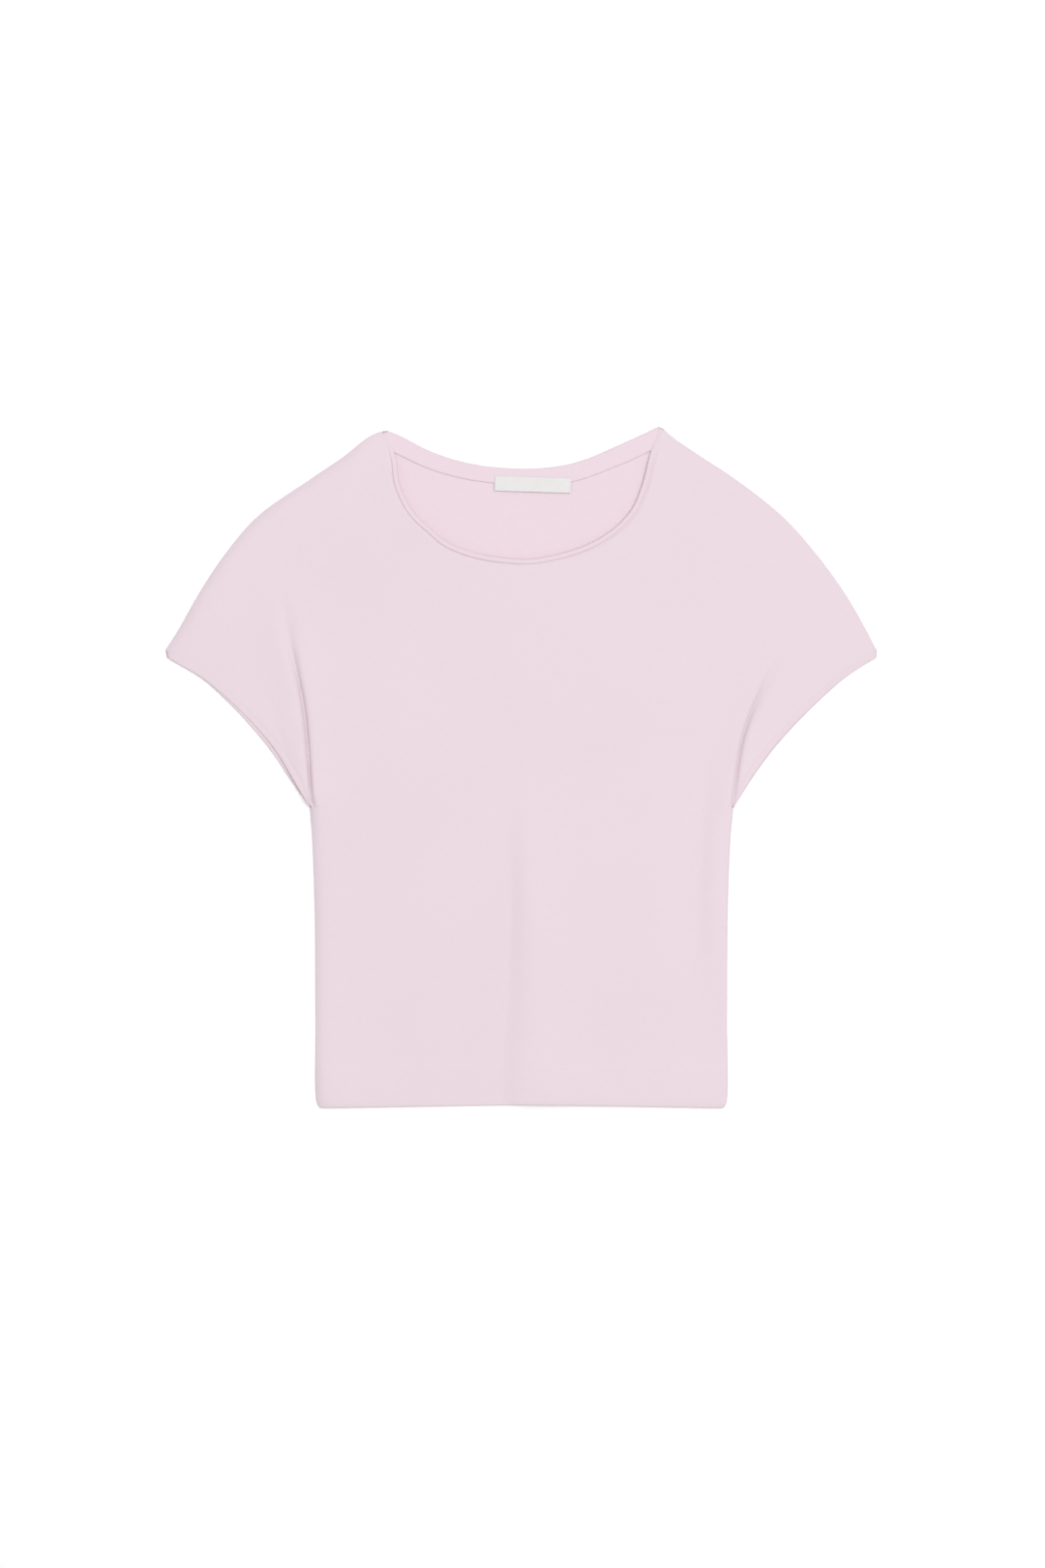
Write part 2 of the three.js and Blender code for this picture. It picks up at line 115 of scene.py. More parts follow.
def smooth_line(places, count=LINE_POINTS):
    """Evenly spaced points on a centripetal Catmull-Rom curve through the places."""
    p = np.asarray(places, float)
    p = np.vstack([2 * p[0] - p[1], p, 2 * p[-1] - p[-2]])
    t = np.linspace(0, 1, CURVE_SAMPLES, endpoint=False)[:, None]
    stretches = []
    for p0, p1, p2, p3 in zip(p, p[1:], p[2:], p[3:]):
        d0, d1, d2 = (np.linalg.norm(b - a) ** 0.5 for a, b in ((p0, p1), (p1, p2), (p2, p3)))
        m1 = d1 * ((p1 - p0) / d0 - (p2 - p0) / (d0 + d1) + (p2 - p1) / d1)
        m2 = d1 * ((p2 - p1) / d1 - (p3 - p1) / (d1 + d2) + (p3 - p2) / d2)
        bend = 3 * (p2 - p1) - 2 * m1 - m2
        stretches.append(p1 + m1 * t + bend * t**2 + (2 * (p1 - p2) + m1 + m2) * t**3)
    return spaced(np.vstack([*stretches, p[-2]]), count)


def beside(points, reach):
    """The line moved sideways, to the left of its direction for a positive reach."""
    before = np.vstack([points[:1], points[:-1]])
    after = np.vstack([points[1:], points[-1:]])
    along = after - before
    along /= np.linalg.norm(along, axis=1, keepdims=True)
    return points + np.stack([-along[:, 1], along[:, 0]], axis=1) * np.reshape(reach, (-1, 1))


def at_share(points, share):
    """Places on a line at shares of its length, from 0 to 1."""
    steps = np.linalg.norm(np.diff(points, axis=0), axis=1)
    along = np.concatenate([[0], np.cumsum(steps)])
    wanted = np.asarray(share, float) * along[-1]
    return np.stack([np.interp(wanted, along, points[:, k]) for k in (0, 1)], axis=-1)


def line_length(points):
    return float(np.linalg.norm(np.diff(points, axis=0), axis=1).sum())


def nearest(line, x, y):
    """Signed distance to a line, positive to the left of its direction, and the share along it."""
    a, b = line[:-1], line[1:]
    run = b - a
    flat_x, flat_y = np.ravel(x), np.ravel(y)
    dx, dy = flat_x[:, None] - a[:, 0], flat_y[:, None] - a[:, 1]
    t = np.clip((dx * run[:, 0] + dy * run[:, 1]) / (run**2).sum(1), 0, 1)
    distance = np.hypot(dx - t * run[:, 0], dy - t * run[:, 1])
    best = distance.argmin(1)
    pick = np.arange(len(best)), best
    turn = run[best, 0] * dy[pick] - run[best, 1] * dx[pick]
    signed = np.where(turn >= 0, 1, -1) * distance[pick]
    return signed.reshape(np.shape(x)), ((best + t[pick]) / len(run)).reshape(np.shape(x))


def smoothstep(value, low, high):
    t = np.clip((value - low) / (high - low), 0, 1)
    return t * t * (3 - 2 * t)


# %% The garment's edges as lines
def side_places(rows, side):
    return [(row[1 + SIDES.index(side)], row[0]) for row in rows]


shoulder, cuff, side_edge = {}, {}, {}
for name in SIDES:
    shoulder[name] = smooth_line([NECK_POINT[name], *side_places(SHOULDER_ROWS, name)])
    cuff[name] = smooth_line(side_places(CUFF_ROWS, name))
    side_edge[name] = smooth_line(side_places(SIDE_ROWS, name))
front_neck = smooth_line([
    NECK_POINT["left"],
    *side_places(FRONT_NECK_ROWS, "left"),
    FRONT_NECK_LOWEST,
    *reversed(side_places(FRONT_NECK_ROWS, "right")),
    NECK_POINT["right"],
], 2 * LINE_POINTS)
back_neck = smooth_line([NECK_POINT["left"], *BACK_NECK_PLACES, NECK_POINT["right"]], 2 * LINE_POINTS)
hem_edge = np.array([side_edge["left"][-1], HEM_MIDDLE, side_edge["right"][-1]])
closed_edges = [edge[name] for edge in (shoulder, side_edge) for name in SIDES]
print("front neckline, mm:", round(line_length(front_neck)))

# %% [markdown]
# The lie of the cloth
#
# The back lies on the table and the front lies over it with a little air between them. Where the two
# join, at the sides and shoulders, the front rolls down to the seam. Under the arms the sleeve pushes
# a crease into the body, and a long soft step runs down the middle of the front where the halves of
# the body lie at slightly different heights.
#
# Each fold is a row of the table: three places along it, its half width at both ends, its height, and
# its kind. A trough has a lip on either side, a crease is a narrow trough with a sharp bottom, a swell
# is a plain rise, or a plain hollow where its height is negative, and a step is higher to the viewer's
# right. FOLDS holds the broad folds that the solid model has too. FINE_FOLDS draws the outer face more
# closely: the sharp creases, the cloth that they push up beside them, and faint unevenness elsewhere.
# The heights add up to one surface, which every piece of the front then shares.

# %% Thicknesses and heights, in millimetres
WALL = 1.2
SEAM_GAP = 0.3
SHELL = 0.9
HEM_DEPTH = 31
HEM_TURN_UP = 0.4
HEM_LINE_WIDTH = 3
REST_LIFT = 1.2
REST_REACH = 7
EDGE_PUFF = 1.1
EDGE_PUFF_REACH = 8
ROLL_REACH = {"left": 8, "right": 2.0}
ROLL_CHANGE = (-60, 60)
FRONT_SEAM_HEIGHT = 1.38
BACK_SEAM_HEIGHT = 1.22

# %% Folds of the front, in millimetres
FOLDS = [
    # kind, three places along it, half width at its start and end, height, runs out over the edge
    ("trough", (-193, 140), (-177.5, 72), (-166.5, -33), 15, 5, 2.0, True),
    ("swell", (-206, 150), (-192, 80), (-181, 8), 15, 8, 1.1, False),
    ("trough", (198, 76), (180, 31), (168.5, -31), 11, 5, 1.5, True),
    ("swell", (210, 92), (194, 42), (183, 2), 12, 8, 0.7, False),
    ("step", (-3, 5), (-3, -150), (-10, -272), 7, 17, 1.0, True),
    ("step", (157, 40), (148, -65), (146, -190), 8, 9, 0.6, False),
]
FINE_FOLDS = [
    ("swell", (-190.5, 142), (-184.5, 103), (-176, 62), 6.5, 3.0, -2.0, False),
    ("crease", (-187.5, 114), (-173.3, 50), (-166.3, -30), 2.7, 1.15, 4.6, True),
    ("swell", (-194, 150), (-180, 75), (-168, -26), 24, 14, 2.9, True),
    ("swell", (208, 98), (195, 64), (180, 31), 5, 3, -1.1, False),
    ("crease", (204, 90), (177.4, 27), (168.2, -31), 2.4, 1.2, 3.2, True),
    ("swell", (208, 98), (182, 32), (169, -28), 18, 11, 2.0, True),
    ("step", (-4, 5), (-5, -150), (-9, -272), 6, 14, 2.0, True),
    ("step", (157, 40), (149, -65), (146, -190), 7, 8, 1.2, False),
    ("trough", (-204, 70), (-189, 18), (-173, -20), 5, 4, 0.45, True),
    ("step", (131, 20), (131, -60), (137, -130), 7, 8, 0.22, False),
    ("trough", (-150, 40), (-149, -10), (-152, -60), 6, 6, 0.2, False),
    ("swell", (-118, 120), (-100, 40), (-96, -70), 26, 22, 0.35, False),
    ("swell", (112, 110), (98, 30), (92, -80), 28, 24, 0.4, False),
    ("trough", (-121, 252), (-128, 228), (-139, 200), 5, 9, 0.3, False),
    ("trough", (120, 254), (130, 226), (146, 196), 5, 9, 0.25, False),
    ("step", (-92, -150), (-95, -205), (-93, -262), 9, 13, 0.25, False),
    ("swell", (78, -120), (74, -190), (80, -258), 16, 20, 0.3, False),
]
FACE_FOLDS = [fold for fold in FOLDS if fold[0] == "step"] + FINE_FOLDS
LIP_REACH = 2.5
LIP_SHARE = 0.9
CREASE_SHARPNESS = 1.2
STEP_REACH = 3.2
FADE_IN = 0.45
FADE_OUT = 0.35


def fold_height(fold, x, y):
    kind, start, middle, end, width_start, width_end, height, runs_out = fold
    signed, along = nearest(smooth_line([start, middle, end], 16), x, y)
    across = signed / (width_start + (width_end - width_start) * along)
    fade = smoothstep(along, 0, FADE_IN)
    if not runs_out:
        fade = fade * smoothstep(1 - along, 0, FADE_OUT)
    if kind == "swell":
        shape = np.exp(-across**2)
    elif kind == "crease":
        shape = -np.exp(-(np.abs(across) ** CREASE_SHARPNESS))
    elif kind == "trough":
        shape = LIP_SHARE * np.exp(-((across / LIP_REACH) ** 2)) - np.exp(-across**2)
    else:
        shape = np.tanh(across) * np.exp(-((across / STEP_REACH) ** 2))
    return height * shape * fade


# %% [markdown]
# How the front settles on the back
#
# The front stands a little off the back in the middle and comes down to it at every edge. The two sides
# aren't alike in the photograph. On the right the front is full close to the seam, and on the left it
# rolls down over a wider strip. At the neck points all the layers are pressed together.

# %% Heights of the two layers
def closed_distance(x, y):
    """Distance to the nearest side or shoulder, where the front and the back are joined."""
    return np.min([np.abs(nearest(edge, x, y)[0]) for edge in closed_edges], axis=0)


def roll_reach(x):
    """How far in from a side seam the front begins to roll down, more on the left than the right."""
    return ROLL_REACH["left"] + (ROLL_REACH["right"] - ROLL_REACH["left"]) * smoothstep(x, *ROLL_CHANGE)


def hem_extra(y, width=HEM_LINE_WIDTH):
    """Extra thickness of the turned-up hem, which steps down at its stitching line."""
    line = HEM_MIDDLE[1] + HEM_DEPTH
    return HEM_TURN_UP * (1 - smoothstep(y, line - width / 2, line + width / 2))


FLATTER_RIGHT = 0.8
FLATTER_BETWEEN = (60, 150)
FULL_AT_RIGHT = 12
RIGHT_SEAM_RIDGE = 1.1
RIGHT_RIDGE_REACH = 6
NECK_RISE = 0.95
NECK_RISE_REACH = 14
SETTLED_SHARE = 0.25
SETTLE_REACH = 4.5
NECK_POINT_REACH = (9, 34)


def away_from_neck_points(x, y):
    """0 at the neck points, where front, back and bindings lie pressed together, and 1 beyond."""
    distance = np.min([np.hypot(x - place[0], y - place[1]) for place in NECK_POINT.values()], axis=0)
    return smoothstep(distance, *NECK_POINT_REACH)


def settled(x, y):
    """How far the front is let down onto the back, near its open edges and its neck points."""
    lines = [hem_edge, *cuff.values()]
    distance = np.min([np.abs(nearest(line, x, y)[0]) for line in lines], axis=0)
    share = SETTLED_SHARE + (1 - SETTLED_SHARE) * (1 - np.exp(-distance / SETTLE_REACH))
    return share * away_from_neck_points(x, y)


def main_lift(x, y, folds=FOLDS):
    """Air between the back and the front, above the clearance of their seams."""
    edge = closed_distance(x, y)
    flatter = FLATTER_RIGHT * smoothstep(x, *FLATTER_BETWEEN)
    rest = REST_LIFT * (1 - np.exp(-(edge + FULL_AT_RIGHT * flatter) / REST_REACH))
    rest = rest + RIGHT_SEAM_RIDGE * flatter * np.exp(-edge / RIGHT_RIDGE_REACH)
    puff = EDGE_PUFF * (edge / EDGE_PUFF_REACH) * np.exp(1 - edge / EDGE_PUFF_REACH) * (1 - flatter)
    puff = puff + NECK_RISE * np.exp(-np.abs(nearest(front_neck, x, y)[0]) / NECK_RISE_REACH)
    folded = sum(fold_height(fold, x, y) for fold in folds)
    return softly_above((rest + puff) * settled(x, y) + folded)


def softly_above(height, floor=0.0, softness=0.35):
    """Keeps a height above a floor with a rounded corner instead of a kink."""
    rise = height - floor
    return floor + 0.5 * (rise + np.sqrt(rise**2 + softness**2))


# %% [markdown]
# Small unevenness
#
# Even well-pressed jersey is never a true plane. A handful of long, very low waves in different
# directions, drawn from a fixed seed, breaks up the highlights. They are far too low to read as
# creases, and they are the same at every run.

# %% Low waves in the cloth
WAVE_COUNT = 9
WAVE_HEIGHT = 0.03
WAVE_LENGTHS = (60, 170)
WAVE_FADE = 12
BACK_WAVE_SHARE = 0.5
wave_random = np.random.default_rng(11)
waves = [
    (wave_random.uniform(*WAVE_LENGTHS), wave_random.uniform(0, math.pi), wave_random.uniform(0, math.tau))
    for _ in range(WAVE_COUNT)
]


def low_waves(x, y):
    total = np.zeros(np.shape(x))
    for length, angle, phase in waves:
        along = x * math.cos(angle) + y * math.sin(angle)
        total = total + np.sin(math.tau * along / length + phase)
    return WAVE_HEIGHT * total


# %% [markdown]
# Shells with rolled edges
#
# Every piece of this garment is a thin layer that can be seen as two heights over one net of places:
# its upper face and its lower face. Where the layer ends, both faces run round to the same height, so
# the shell closes in a soft rounded edge with no extra rim. Solidify would give each edge a hard
# square rim, and cloth has none.

# %% Rounding and mesh tools
def roundness(distance, reach):
    """0 at an edge and 1 at the reach, along a quarter of an ellipse."""
    t = np.clip(distance / reach, 0, 1)
    return np.sqrt(np.clip(1 - (1 - t) ** 2, 0, 1))


def shell_mesh(name, nets):
    """One closed smooth mesh from nets of rows: their places, upper and lower heights and patterns."""
    points, faces, patterns, edges, painted_crease_shades = [], [], [], [], []
    for net in nets:
        rows, columns = net["x"].shape
        number = np.arange(rows * columns).reshape(rows, columns)
        corners = np.stack([number[:-1, :-1], number[:-1, 1:], number[1:, 1:], number[1:, :-1]], axis=-1)
        corners = corners.reshape(-1, 4)
        if turning(net["x"], net["y"]) < 0:
            corners = corners[:, ::-1]
        close_rim(net)
        for height, flip in ((net["upper"], False), (net["lower"], True)):
            start = sum(len(part) for part in points)
            points.append(np.stack([net["x"].ravel(), net["y"].ravel(), height.ravel()], axis=1))
            faces.append((corners[:, ::-1] if flip else corners) + start)
            patterns.append(np.stack([net["u"].ravel(), net["v"].ravel()], axis=1))
            edges.append(net["edge"].ravel())
            painted_crease_shades.append(net.get("painted_crease_shade", np.zeros_like(net["x"])).ravel())
    points, faces = np.vstack(points) * MM, np.vstack(faces)
    patterns = np.vstack(patterns) * MM
    mesh = bpy.data.meshes.new(name)
    mesh.from_pydata(points.tolist(), [], faces.tolist())
    layer = mesh.uv_layers.new(name="pattern")
    loops = np.zeros(len(mesh.loops), np.int32)
    mesh.loops.foreach_get("vertex_index", loops)
    layer.data.foreach_set("uv", patterns[loops].astype(np.float32).ravel())
    # Real edge wear, and the share of painted shade in the bottom of the front's creases
    for quality, values in (("edge_wear", edges), ("painted_crease_shade", painted_crease_shades)):
        stored = mesh.attributes.new(quality, "FLOAT", "POINT")
        stored.data.foreach_set("value", np.concatenate(values).astype(np.float32))
    merge_doubles(mesh)
    thing = bpy.data.objects.new(name, mesh)
    bpy.context.scene.collection.objects.link(thing)
    return thing


def close_rim(net):
    """Both faces meet all round the rim, except where a half panel joins its other half."""
    middle = (net["upper"] + net["lower"]) / 2
    rim = np.ones(middle.shape, bool)
    rim[1:-1, 1:-1] = False
    rim[1 : net.get("joined_rows", 1), 0] = False
    for face in ("upper", "lower"):
        net[face] = np.where(rim, middle, net[face])


def turning(x, y):
    """Twice the signed area of a net, which says whether its rows run anticlockwise."""
    dx1, dy1 = x[:-1, 1:] - x[:-1, :-1], y[:-1, 1:] - y[:-1, :-1]
    dx2, dy2 = x[1:, :-1] - x[:-1, :-1], y[1:, :-1] - y[:-1, :-1]
    return float((dx1 * dy2 - dy1 * dx2).sum())


MERGE_DISTANCE = 2e-6


def merge_doubles(mesh):
    work = bmesh.new()
    work.from_mesh(mesh)
    bmesh.ops.remove_doubles(work, verts=work.verts, dist=MERGE_DISTANCE)
    bmesh.ops.dissolve_degenerate(work, edges=work.edges, dist=MERGE_DISTANCE)
    open_edges = sum(1 for edge in work.edges if not edge.is_manifold)
    for face in work.faces:
        face.smooth = True
    work.to_mesh(mesh)
    work.free()
    mesh.update()
    print(f"  {mesh.name}: {len(mesh.polygons)} faces, {open_edges} open edges")


# %% [markdown]
# The net of a panel
#
# Rows of the net run from the middle line outwards: to the side, then to the sleeve opening, then to
# the shoulder. Higher up they start at the neckline instead. Rows and columns crowd at the edges,
# where the cloth rolls, and columns crowd again at the folds. So the faces are small only where the
# cloth bends.

# %% Rows and columns of a panel
CUFF_WIDTH = 5
CUFF_TAPER = {"from": 0.86, "share": 0.25}
NECK_BINDING_WIDTH = 4.3
CUFF_SETBACK = {"left": 3, "right": 1}
CUFF_SETBACK_LEAN = 1.7
UNDERARM_CLEARANCE = 0.4
SEAM_TUCK = 0.8
EDGE_STEPS = np.array([0, 0.05, 0.2, 0.45, 0.8, 1.25, 1.85, 2.6, 3.6])
HEM_STEPS = np.array([
    0, 0.05, 0.2, 0.45, 0.8, 1.3, 2, 3, 5, 8, 12, 16, 20, 24, 27, 28.6, 29.4, 30.2, 30.7, 31.2,
    31.7, 32.4, 33.2, 34.2, 36,
])


def cuff_edge(side, layer, count=LINE_POINTS):
    """Edge of one sleeve opening. The front's left one lies back from the back's."""
    points = spaced(cuff[side], count)
    if layer == "back":
        return points
    share = np.linspace(0, 1, count + 1) ** CUFF_SETBACK_LEAN
    return beside(points, INWARD[side] * CUFF_SETBACK[side] * np.sin(math.pi * share))


def crossing(a, b, c, d):
    """Where the straight lines a to b and c to d cross."""
    u, v, w = b - a, d - c, c - a
    return a + u * (w[0] * v[1] - w[1] * v[0]) / (u[0] * v[1] - u[1] * v[0])


def cuff_seam(side, layer, width, count=LINE_POINTS):
    """Line inside a sleeve opening, from the shoulder edge to the underarm, where it runs out."""
    share = np.linspace(0, 1, LINE_POINTS + 1)
    taper = 1 - (1 - CUFF_TAPER["share"]) * smoothstep(share, CUFF_TAPER["from"], 1)
    seam = beside(cuff_edge(side, layer), INWARD[side] * width * taper)
    edge = shoulder[side]
    seam[0] = crossing(seam[1], seam[2], edge[-2], edge[-1])
    return smooth_line(seam, count)


def outer_path(side, layer, counts, neck_end):
    """Outer ends of the rows, from the hem corner up the side and round the sleeve to the neck."""
    below = side_edge[side][::-1]
    length = line_length(below)
    up_side = np.linspace(HEM_STEPS[-1], length - UNDERARM_CLEARANCE, counts["side"] + 1)[1:]
    places = [at_share(below, np.concatenate([HEM_STEPS, up_side]) / length)]
    seam = cuff_seam(side, layer, CUFF_WIDTH - SEAM_TUCK)
    direction = seam[-1] - seam[-2]
    places.append((seam[-1] + SEAM_GAP * direction / np.linalg.norm(direction))[None])
    places.append(at_share(seam, 1 - np.arange(1, counts["cuff"] + 1) / counts["cuff"]))
    sleeve_end = seam[0]
    kept = [
        point for point in shoulder[side]
        if point[1] > sleeve_end[1] + SEAM_GAP and INWARD[side] * (point[0] - neck_end[0]) < -SEAM_GAP
    ]
    upper = np.vstack([neck_end, *kept, sleeve_end])
    count = counts["sleeve"] + counts["neck"]
    places.append(at_share(upper, 1 - np.arange(1, count + 1) / count))
    return np.vstack(places)


def inner_path(neckline, counts):
    """Inner ends of the rows: up the middle line, then along the neckline."""
    lowest = HEM_MIDDLE[1]
    side_rows = np.linspace(HEM_STEPS[-1], UNDERARM_HEIGHT - lowest, counts["side"] + 1)[1:]
    middle_rows = counts["cuff"] + counts["sleeve"] + 2
    upper_rows = np.linspace(UNDERARM_HEIGHT - lowest, neckline[0][1] - lowest, middle_rows)[1:-1]
    heights = lowest + np.concatenate([HEM_STEPS, side_rows, upper_rows])
    middle = np.stack([np.full(len(heights), float(HEM_MIDDLE[0])), heights], axis=1)
    return np.vstack([middle, spaced(neckline, counts["neck"])])


FLAT_COLUMN = 14
BENT_COLUMN = 2.6
CREASE_COLUMN = 0.6
CREASE_SPREAD = 0.4
COLUMN_PROBES = 240


def across_rows(inner, outer, columns):
    """Places of every row, crowded at both ends and at the folds."""
    run = outer - inner
    length = np.linalg.norm(run, axis=1, keepdims=True)
    crowd = EDGE_STEPS * np.minimum(1, length / (4 * EDGE_STEPS[-1])) / np.maximum(length, 1e-9)
    probes = np.linspace(0, 1, COLUMN_PROBES + 1)
    x = inner[:, :1] + run[:, :1] * probes
    y = inner[:, 1:] + run[:, 1:] * probes
    bend = np.exp(-closed_distance(x, y) / EDGE_PUFF_REACH)
    for _, start, middle, end, width_start, width_end, _, _ in FOLDS:
        signed, along = nearest(smooth_line([start, middle, end], 16), x, y)
        reach = 2 * (width_start + (width_end - width_start) * along)
        bend = np.maximum(bend, np.exp(-((signed / reach) ** 2)))
    column = FLAT_COLUMN + (BENT_COLUMN - FLAT_COLUMN) * bend
    for kind, start, middle, end, *_ in FINE_FOLDS:
        if kind == "crease":
            signed, _ = nearest(smooth_line([start, middle, end], 16), x, y)
            column = np.minimum(column, CREASE_COLUMN + CREASE_SPREAD * np.abs(signed))
    density = 1 / column
    rows = []
    for i, row_density in enumerate(density):
        low, high = crowd[i, -1], 1 - crowd[i, -1]
        total = np.concatenate([[0], np.cumsum((row_density[1:] + row_density[:-1]) / 2)])
        first, last = np.interp([low, high], probes, total)
        between = np.interp(np.linspace(first, last, columns + 1)[1:-1], total, probes)
        rows.append(np.concatenate([crowd[i], between, 1 - crowd[i][::-1]]))
    share = np.array(rows)
    return inner[:, :1] + run[:, :1] * share, inner[:, 1:] + run[:, 1:] * share


def split_neckline(line):
    """The two halves of a neckline, each from its lowest place up to the neck point."""
    lowest = int(line[:, 1].argmin())
    line = line.copy()
    line[lowest, 0] = HEM_MIDDLE[0]
    return {"left": line[: lowest + 1][::-1], "right": line[lowest:]}


# %% [markdown]
# Front and back
#
# The front's two faces follow the folds. Near a side or shoulder both roll down to the seam, and at
# the hem, the neck seam and the sleeve seams they meet half way, tucked a little under the bindings.
# The seams are pressed down too, because a line of sewing pulls the cloth in. The back is flat
# underneath where it rests, with only faint creases, and its inner face is nearly level.

# %% Heights of a panel's two faces
OPEN_EDGE_REACH = 0.8
NECK_SEAM_PRESS = 1.2
CUFF_SEAM_PRESS = 0.08
SEAM_PRESS_REACH = 0.9
HEM_STITCH_PRESS = 0.05
HEM_STITCH_REACH = 1.1
HEM_BACK_SPREAD = 16
HEM_FOLD_DROP = 0.7
HEM_FOLD_REACH = 4

neck_tuck = beside(front_neck, -(NECK_BINDING_WIDTH - SEAM_TUCK))
neck_seam = beside(front_neck, -NECK_BINDING_WIDTH)


def open_distance(x, y, layer):
    """Distance to the nearest edge that a binding or the hem finishes."""
    neckline = neck_tuck if layer == "front" else back_neck
    lines = [hem_edge, neckline]
    lines += [cuff_seam(side, layer, CUFF_WIDTH - SEAM_TUCK) for side in SIDES]
    return np.min([np.abs(nearest(line, x, y)[0]) for line in lines], axis=0)


def seam_press(x, y):
    """How far the seams with the bindings are pulled down, fading out towards the neck points."""
    def groove(line):
        return np.exp(-((nearest(line, x, y)[0] / SEAM_PRESS_REACH) ** 2))

    pressed = NECK_SEAM_PRESS * groove(neck_seam) * away_from_neck_points(x, y)
    for side in SIDES:
        pressed = np.maximum(pressed, CUFF_SEAM_PRESS * groove(cuff_seam(side, "front", CUFF_WIDTH)))
    return pressed


def stitch_groove(y):
    line = HEM_MIDDLE[1] + HEM_DEPTH
    return HEM_STITCH_PRESS * np.exp(-(((y - line) / HEM_STITCH_REACH) ** 2))


def front_face(x, y):
    """Outer face of the front, before its edges are rounded."""
    lift = main_lift(x, y, FACE_FOLDS)
    waves_here = low_waves(x, y) * smoothstep(closed_distance(x, y), 0, WAVE_FADE)
    hems = hem_extra(y) + hem_extra(y, HEM_BACK_SPREAD)
    folded_edge = HEM_FOLD_DROP * (1 - roundness(np.abs(nearest(hem_edge, x, y)[0]), HEM_FOLD_REACH))
    hems = hems - folded_edge
    return 2 * WALL + SEAM_GAP + lift + hems + waves_here - seam_press(x, y) - stitch_groove(y)


def front_heights(x, y):
    closed, opened = closed_distance(x, y), open_distance(x, y, "front")
    face = front_face(x, y)
    reach = roll_reach(x)
    upper = FRONT_SEAM_HEIGHT + (face - FRONT_SEAM_HEIGHT) * roundness(closed, reach)
    inner_roll = roundness(np.maximum(closed - SHELL, 0), reach - SHELL)
    lower = FRONT_SEAM_HEIGHT + (face - SHELL - hem_extra(y) - FRONT_SEAM_HEIGHT) * inner_roll
    return meet_at_edge(upper, lower, opened)


def meet_at_edge(upper, lower, opened):
    """Both faces of a layer run round to their middle at an open edge."""
    middle = (upper + lower) / 2
    half = (upper - lower) / 2 * roundness(opened, OPEN_EDGE_REACH)
    return middle + half, middle - half


BACK_FOLDS = [
    ("swell", (-190, 120), (-176, 60), (-168, -28), 9, 4, 0.5, True),
    ("swell", (196, 96), (181, 40), (169, -26), 8, 4, 0.45, True),
    ("swell", (20, -60), (14, -150), (18, -250), 9, 15, 0.4, False),
    ("swell", (-60, 180), (-10, 190), (60, 176), 10, 12, 0.3, False),
    ("swell", (-120, -90), (-114, -150), (-118, -225), 9, 12, 0.35, False),
]


def back_heights(x, y):
    closed, opened = closed_distance(x, y), open_distance(x, y, "back")
    upper = WALL + hem_extra(y) + BACK_WAVE_SHARE * low_waves(x, y) * smoothstep(closed, 0, WAVE_FADE)
    edge_share = roundness(closed, ROLL_REACH["right"])
    upper = BACK_SEAM_HEIGHT + (upper - BACK_SEAM_HEIGHT) * edge_share
    creases = sum(fold_height(fold, x, y) for fold in BACK_FOLDS) + 2 * stitch_groove(y)
    lower = BACK_SEAM_HEIGHT + (creases - BACK_SEAM_HEIGHT) * edge_share
    return meet_at_edge(upper, lower, opened)


# %% Build the two panels
PANEL_ROWS = {"side": 46, "cuff": 46, "sleeve": 16, "neck": 56}
PANEL_COLUMNS = 86
WEAR_REACH = 6


def painted_crease_share(x, y):
    """0 on open cloth and 1 in the bottom of a crease, where the front's colour gets a painted shade."""
    deep = sum(-fold_height(fold, x, y) / abs(fold[6]) for fold in FACE_FOLDS if fold[0] == "crease")
    return np.clip(deep, 0, 1)


def panel_nets(layer, necklines, heights):
    nets = []
    for side in SIDES:
        neckline = necklines[side]
        outer = outer_path(side, layer, PANEL_ROWS, neckline[-1])
        inner = inner_path(neckline, PANEL_ROWS)
        count = min(len(outer), len(inner))
        x, y = across_rows(inner[:count], outer[:count], PANEL_COLUMNS)
        upper, lower = heights(x, y)
        nearly = np.minimum(closed_distance(x, y), open_distance(x, y, layer))
        nets.append({"x": x, "y": y, "upper": upper, "lower": lower, "u": x, "v": y,
                     "edge": np.exp(-nearly / WEAR_REACH),
                     "painted_crease_shade": painted_crease_share(x, y) * (layer == "front"),
                     "joined_rows": count - PANEL_ROWS["neck"] - 1})
    return nets


front = shell_mesh("front", panel_nets("front", split_neckline(neck_tuck), front_heights))
back = shell_mesh("back", panel_nets("back", split_neckline(back_neck), back_heights))

# %% [markdown]
# Bindings and neck band
#
# A binding is a strip folded over the raw edge, so its outer edge is a soft round nose and its inner
# edge dips into the seam. It is drawn between two lines: the finished edge and the seam. The same
# function makes the band inside the back neck, which is wider and flatter.

# %% Strips between two lines
NOSE_REACH = 1.5
SEAM_DIP_REACH = 0.9
SEAM_ROUNDING = 0.45
THIN_EDGE_SHARE = 0.8
UNDERSIDE_DIP = 0.5
STRIP_STEPS = np.array([0, 0.02, 0.07, 0.15, 0.26, 0.4, 0.55, 0.7, 0.8, 0.88, 0.94, 0.98, 1])


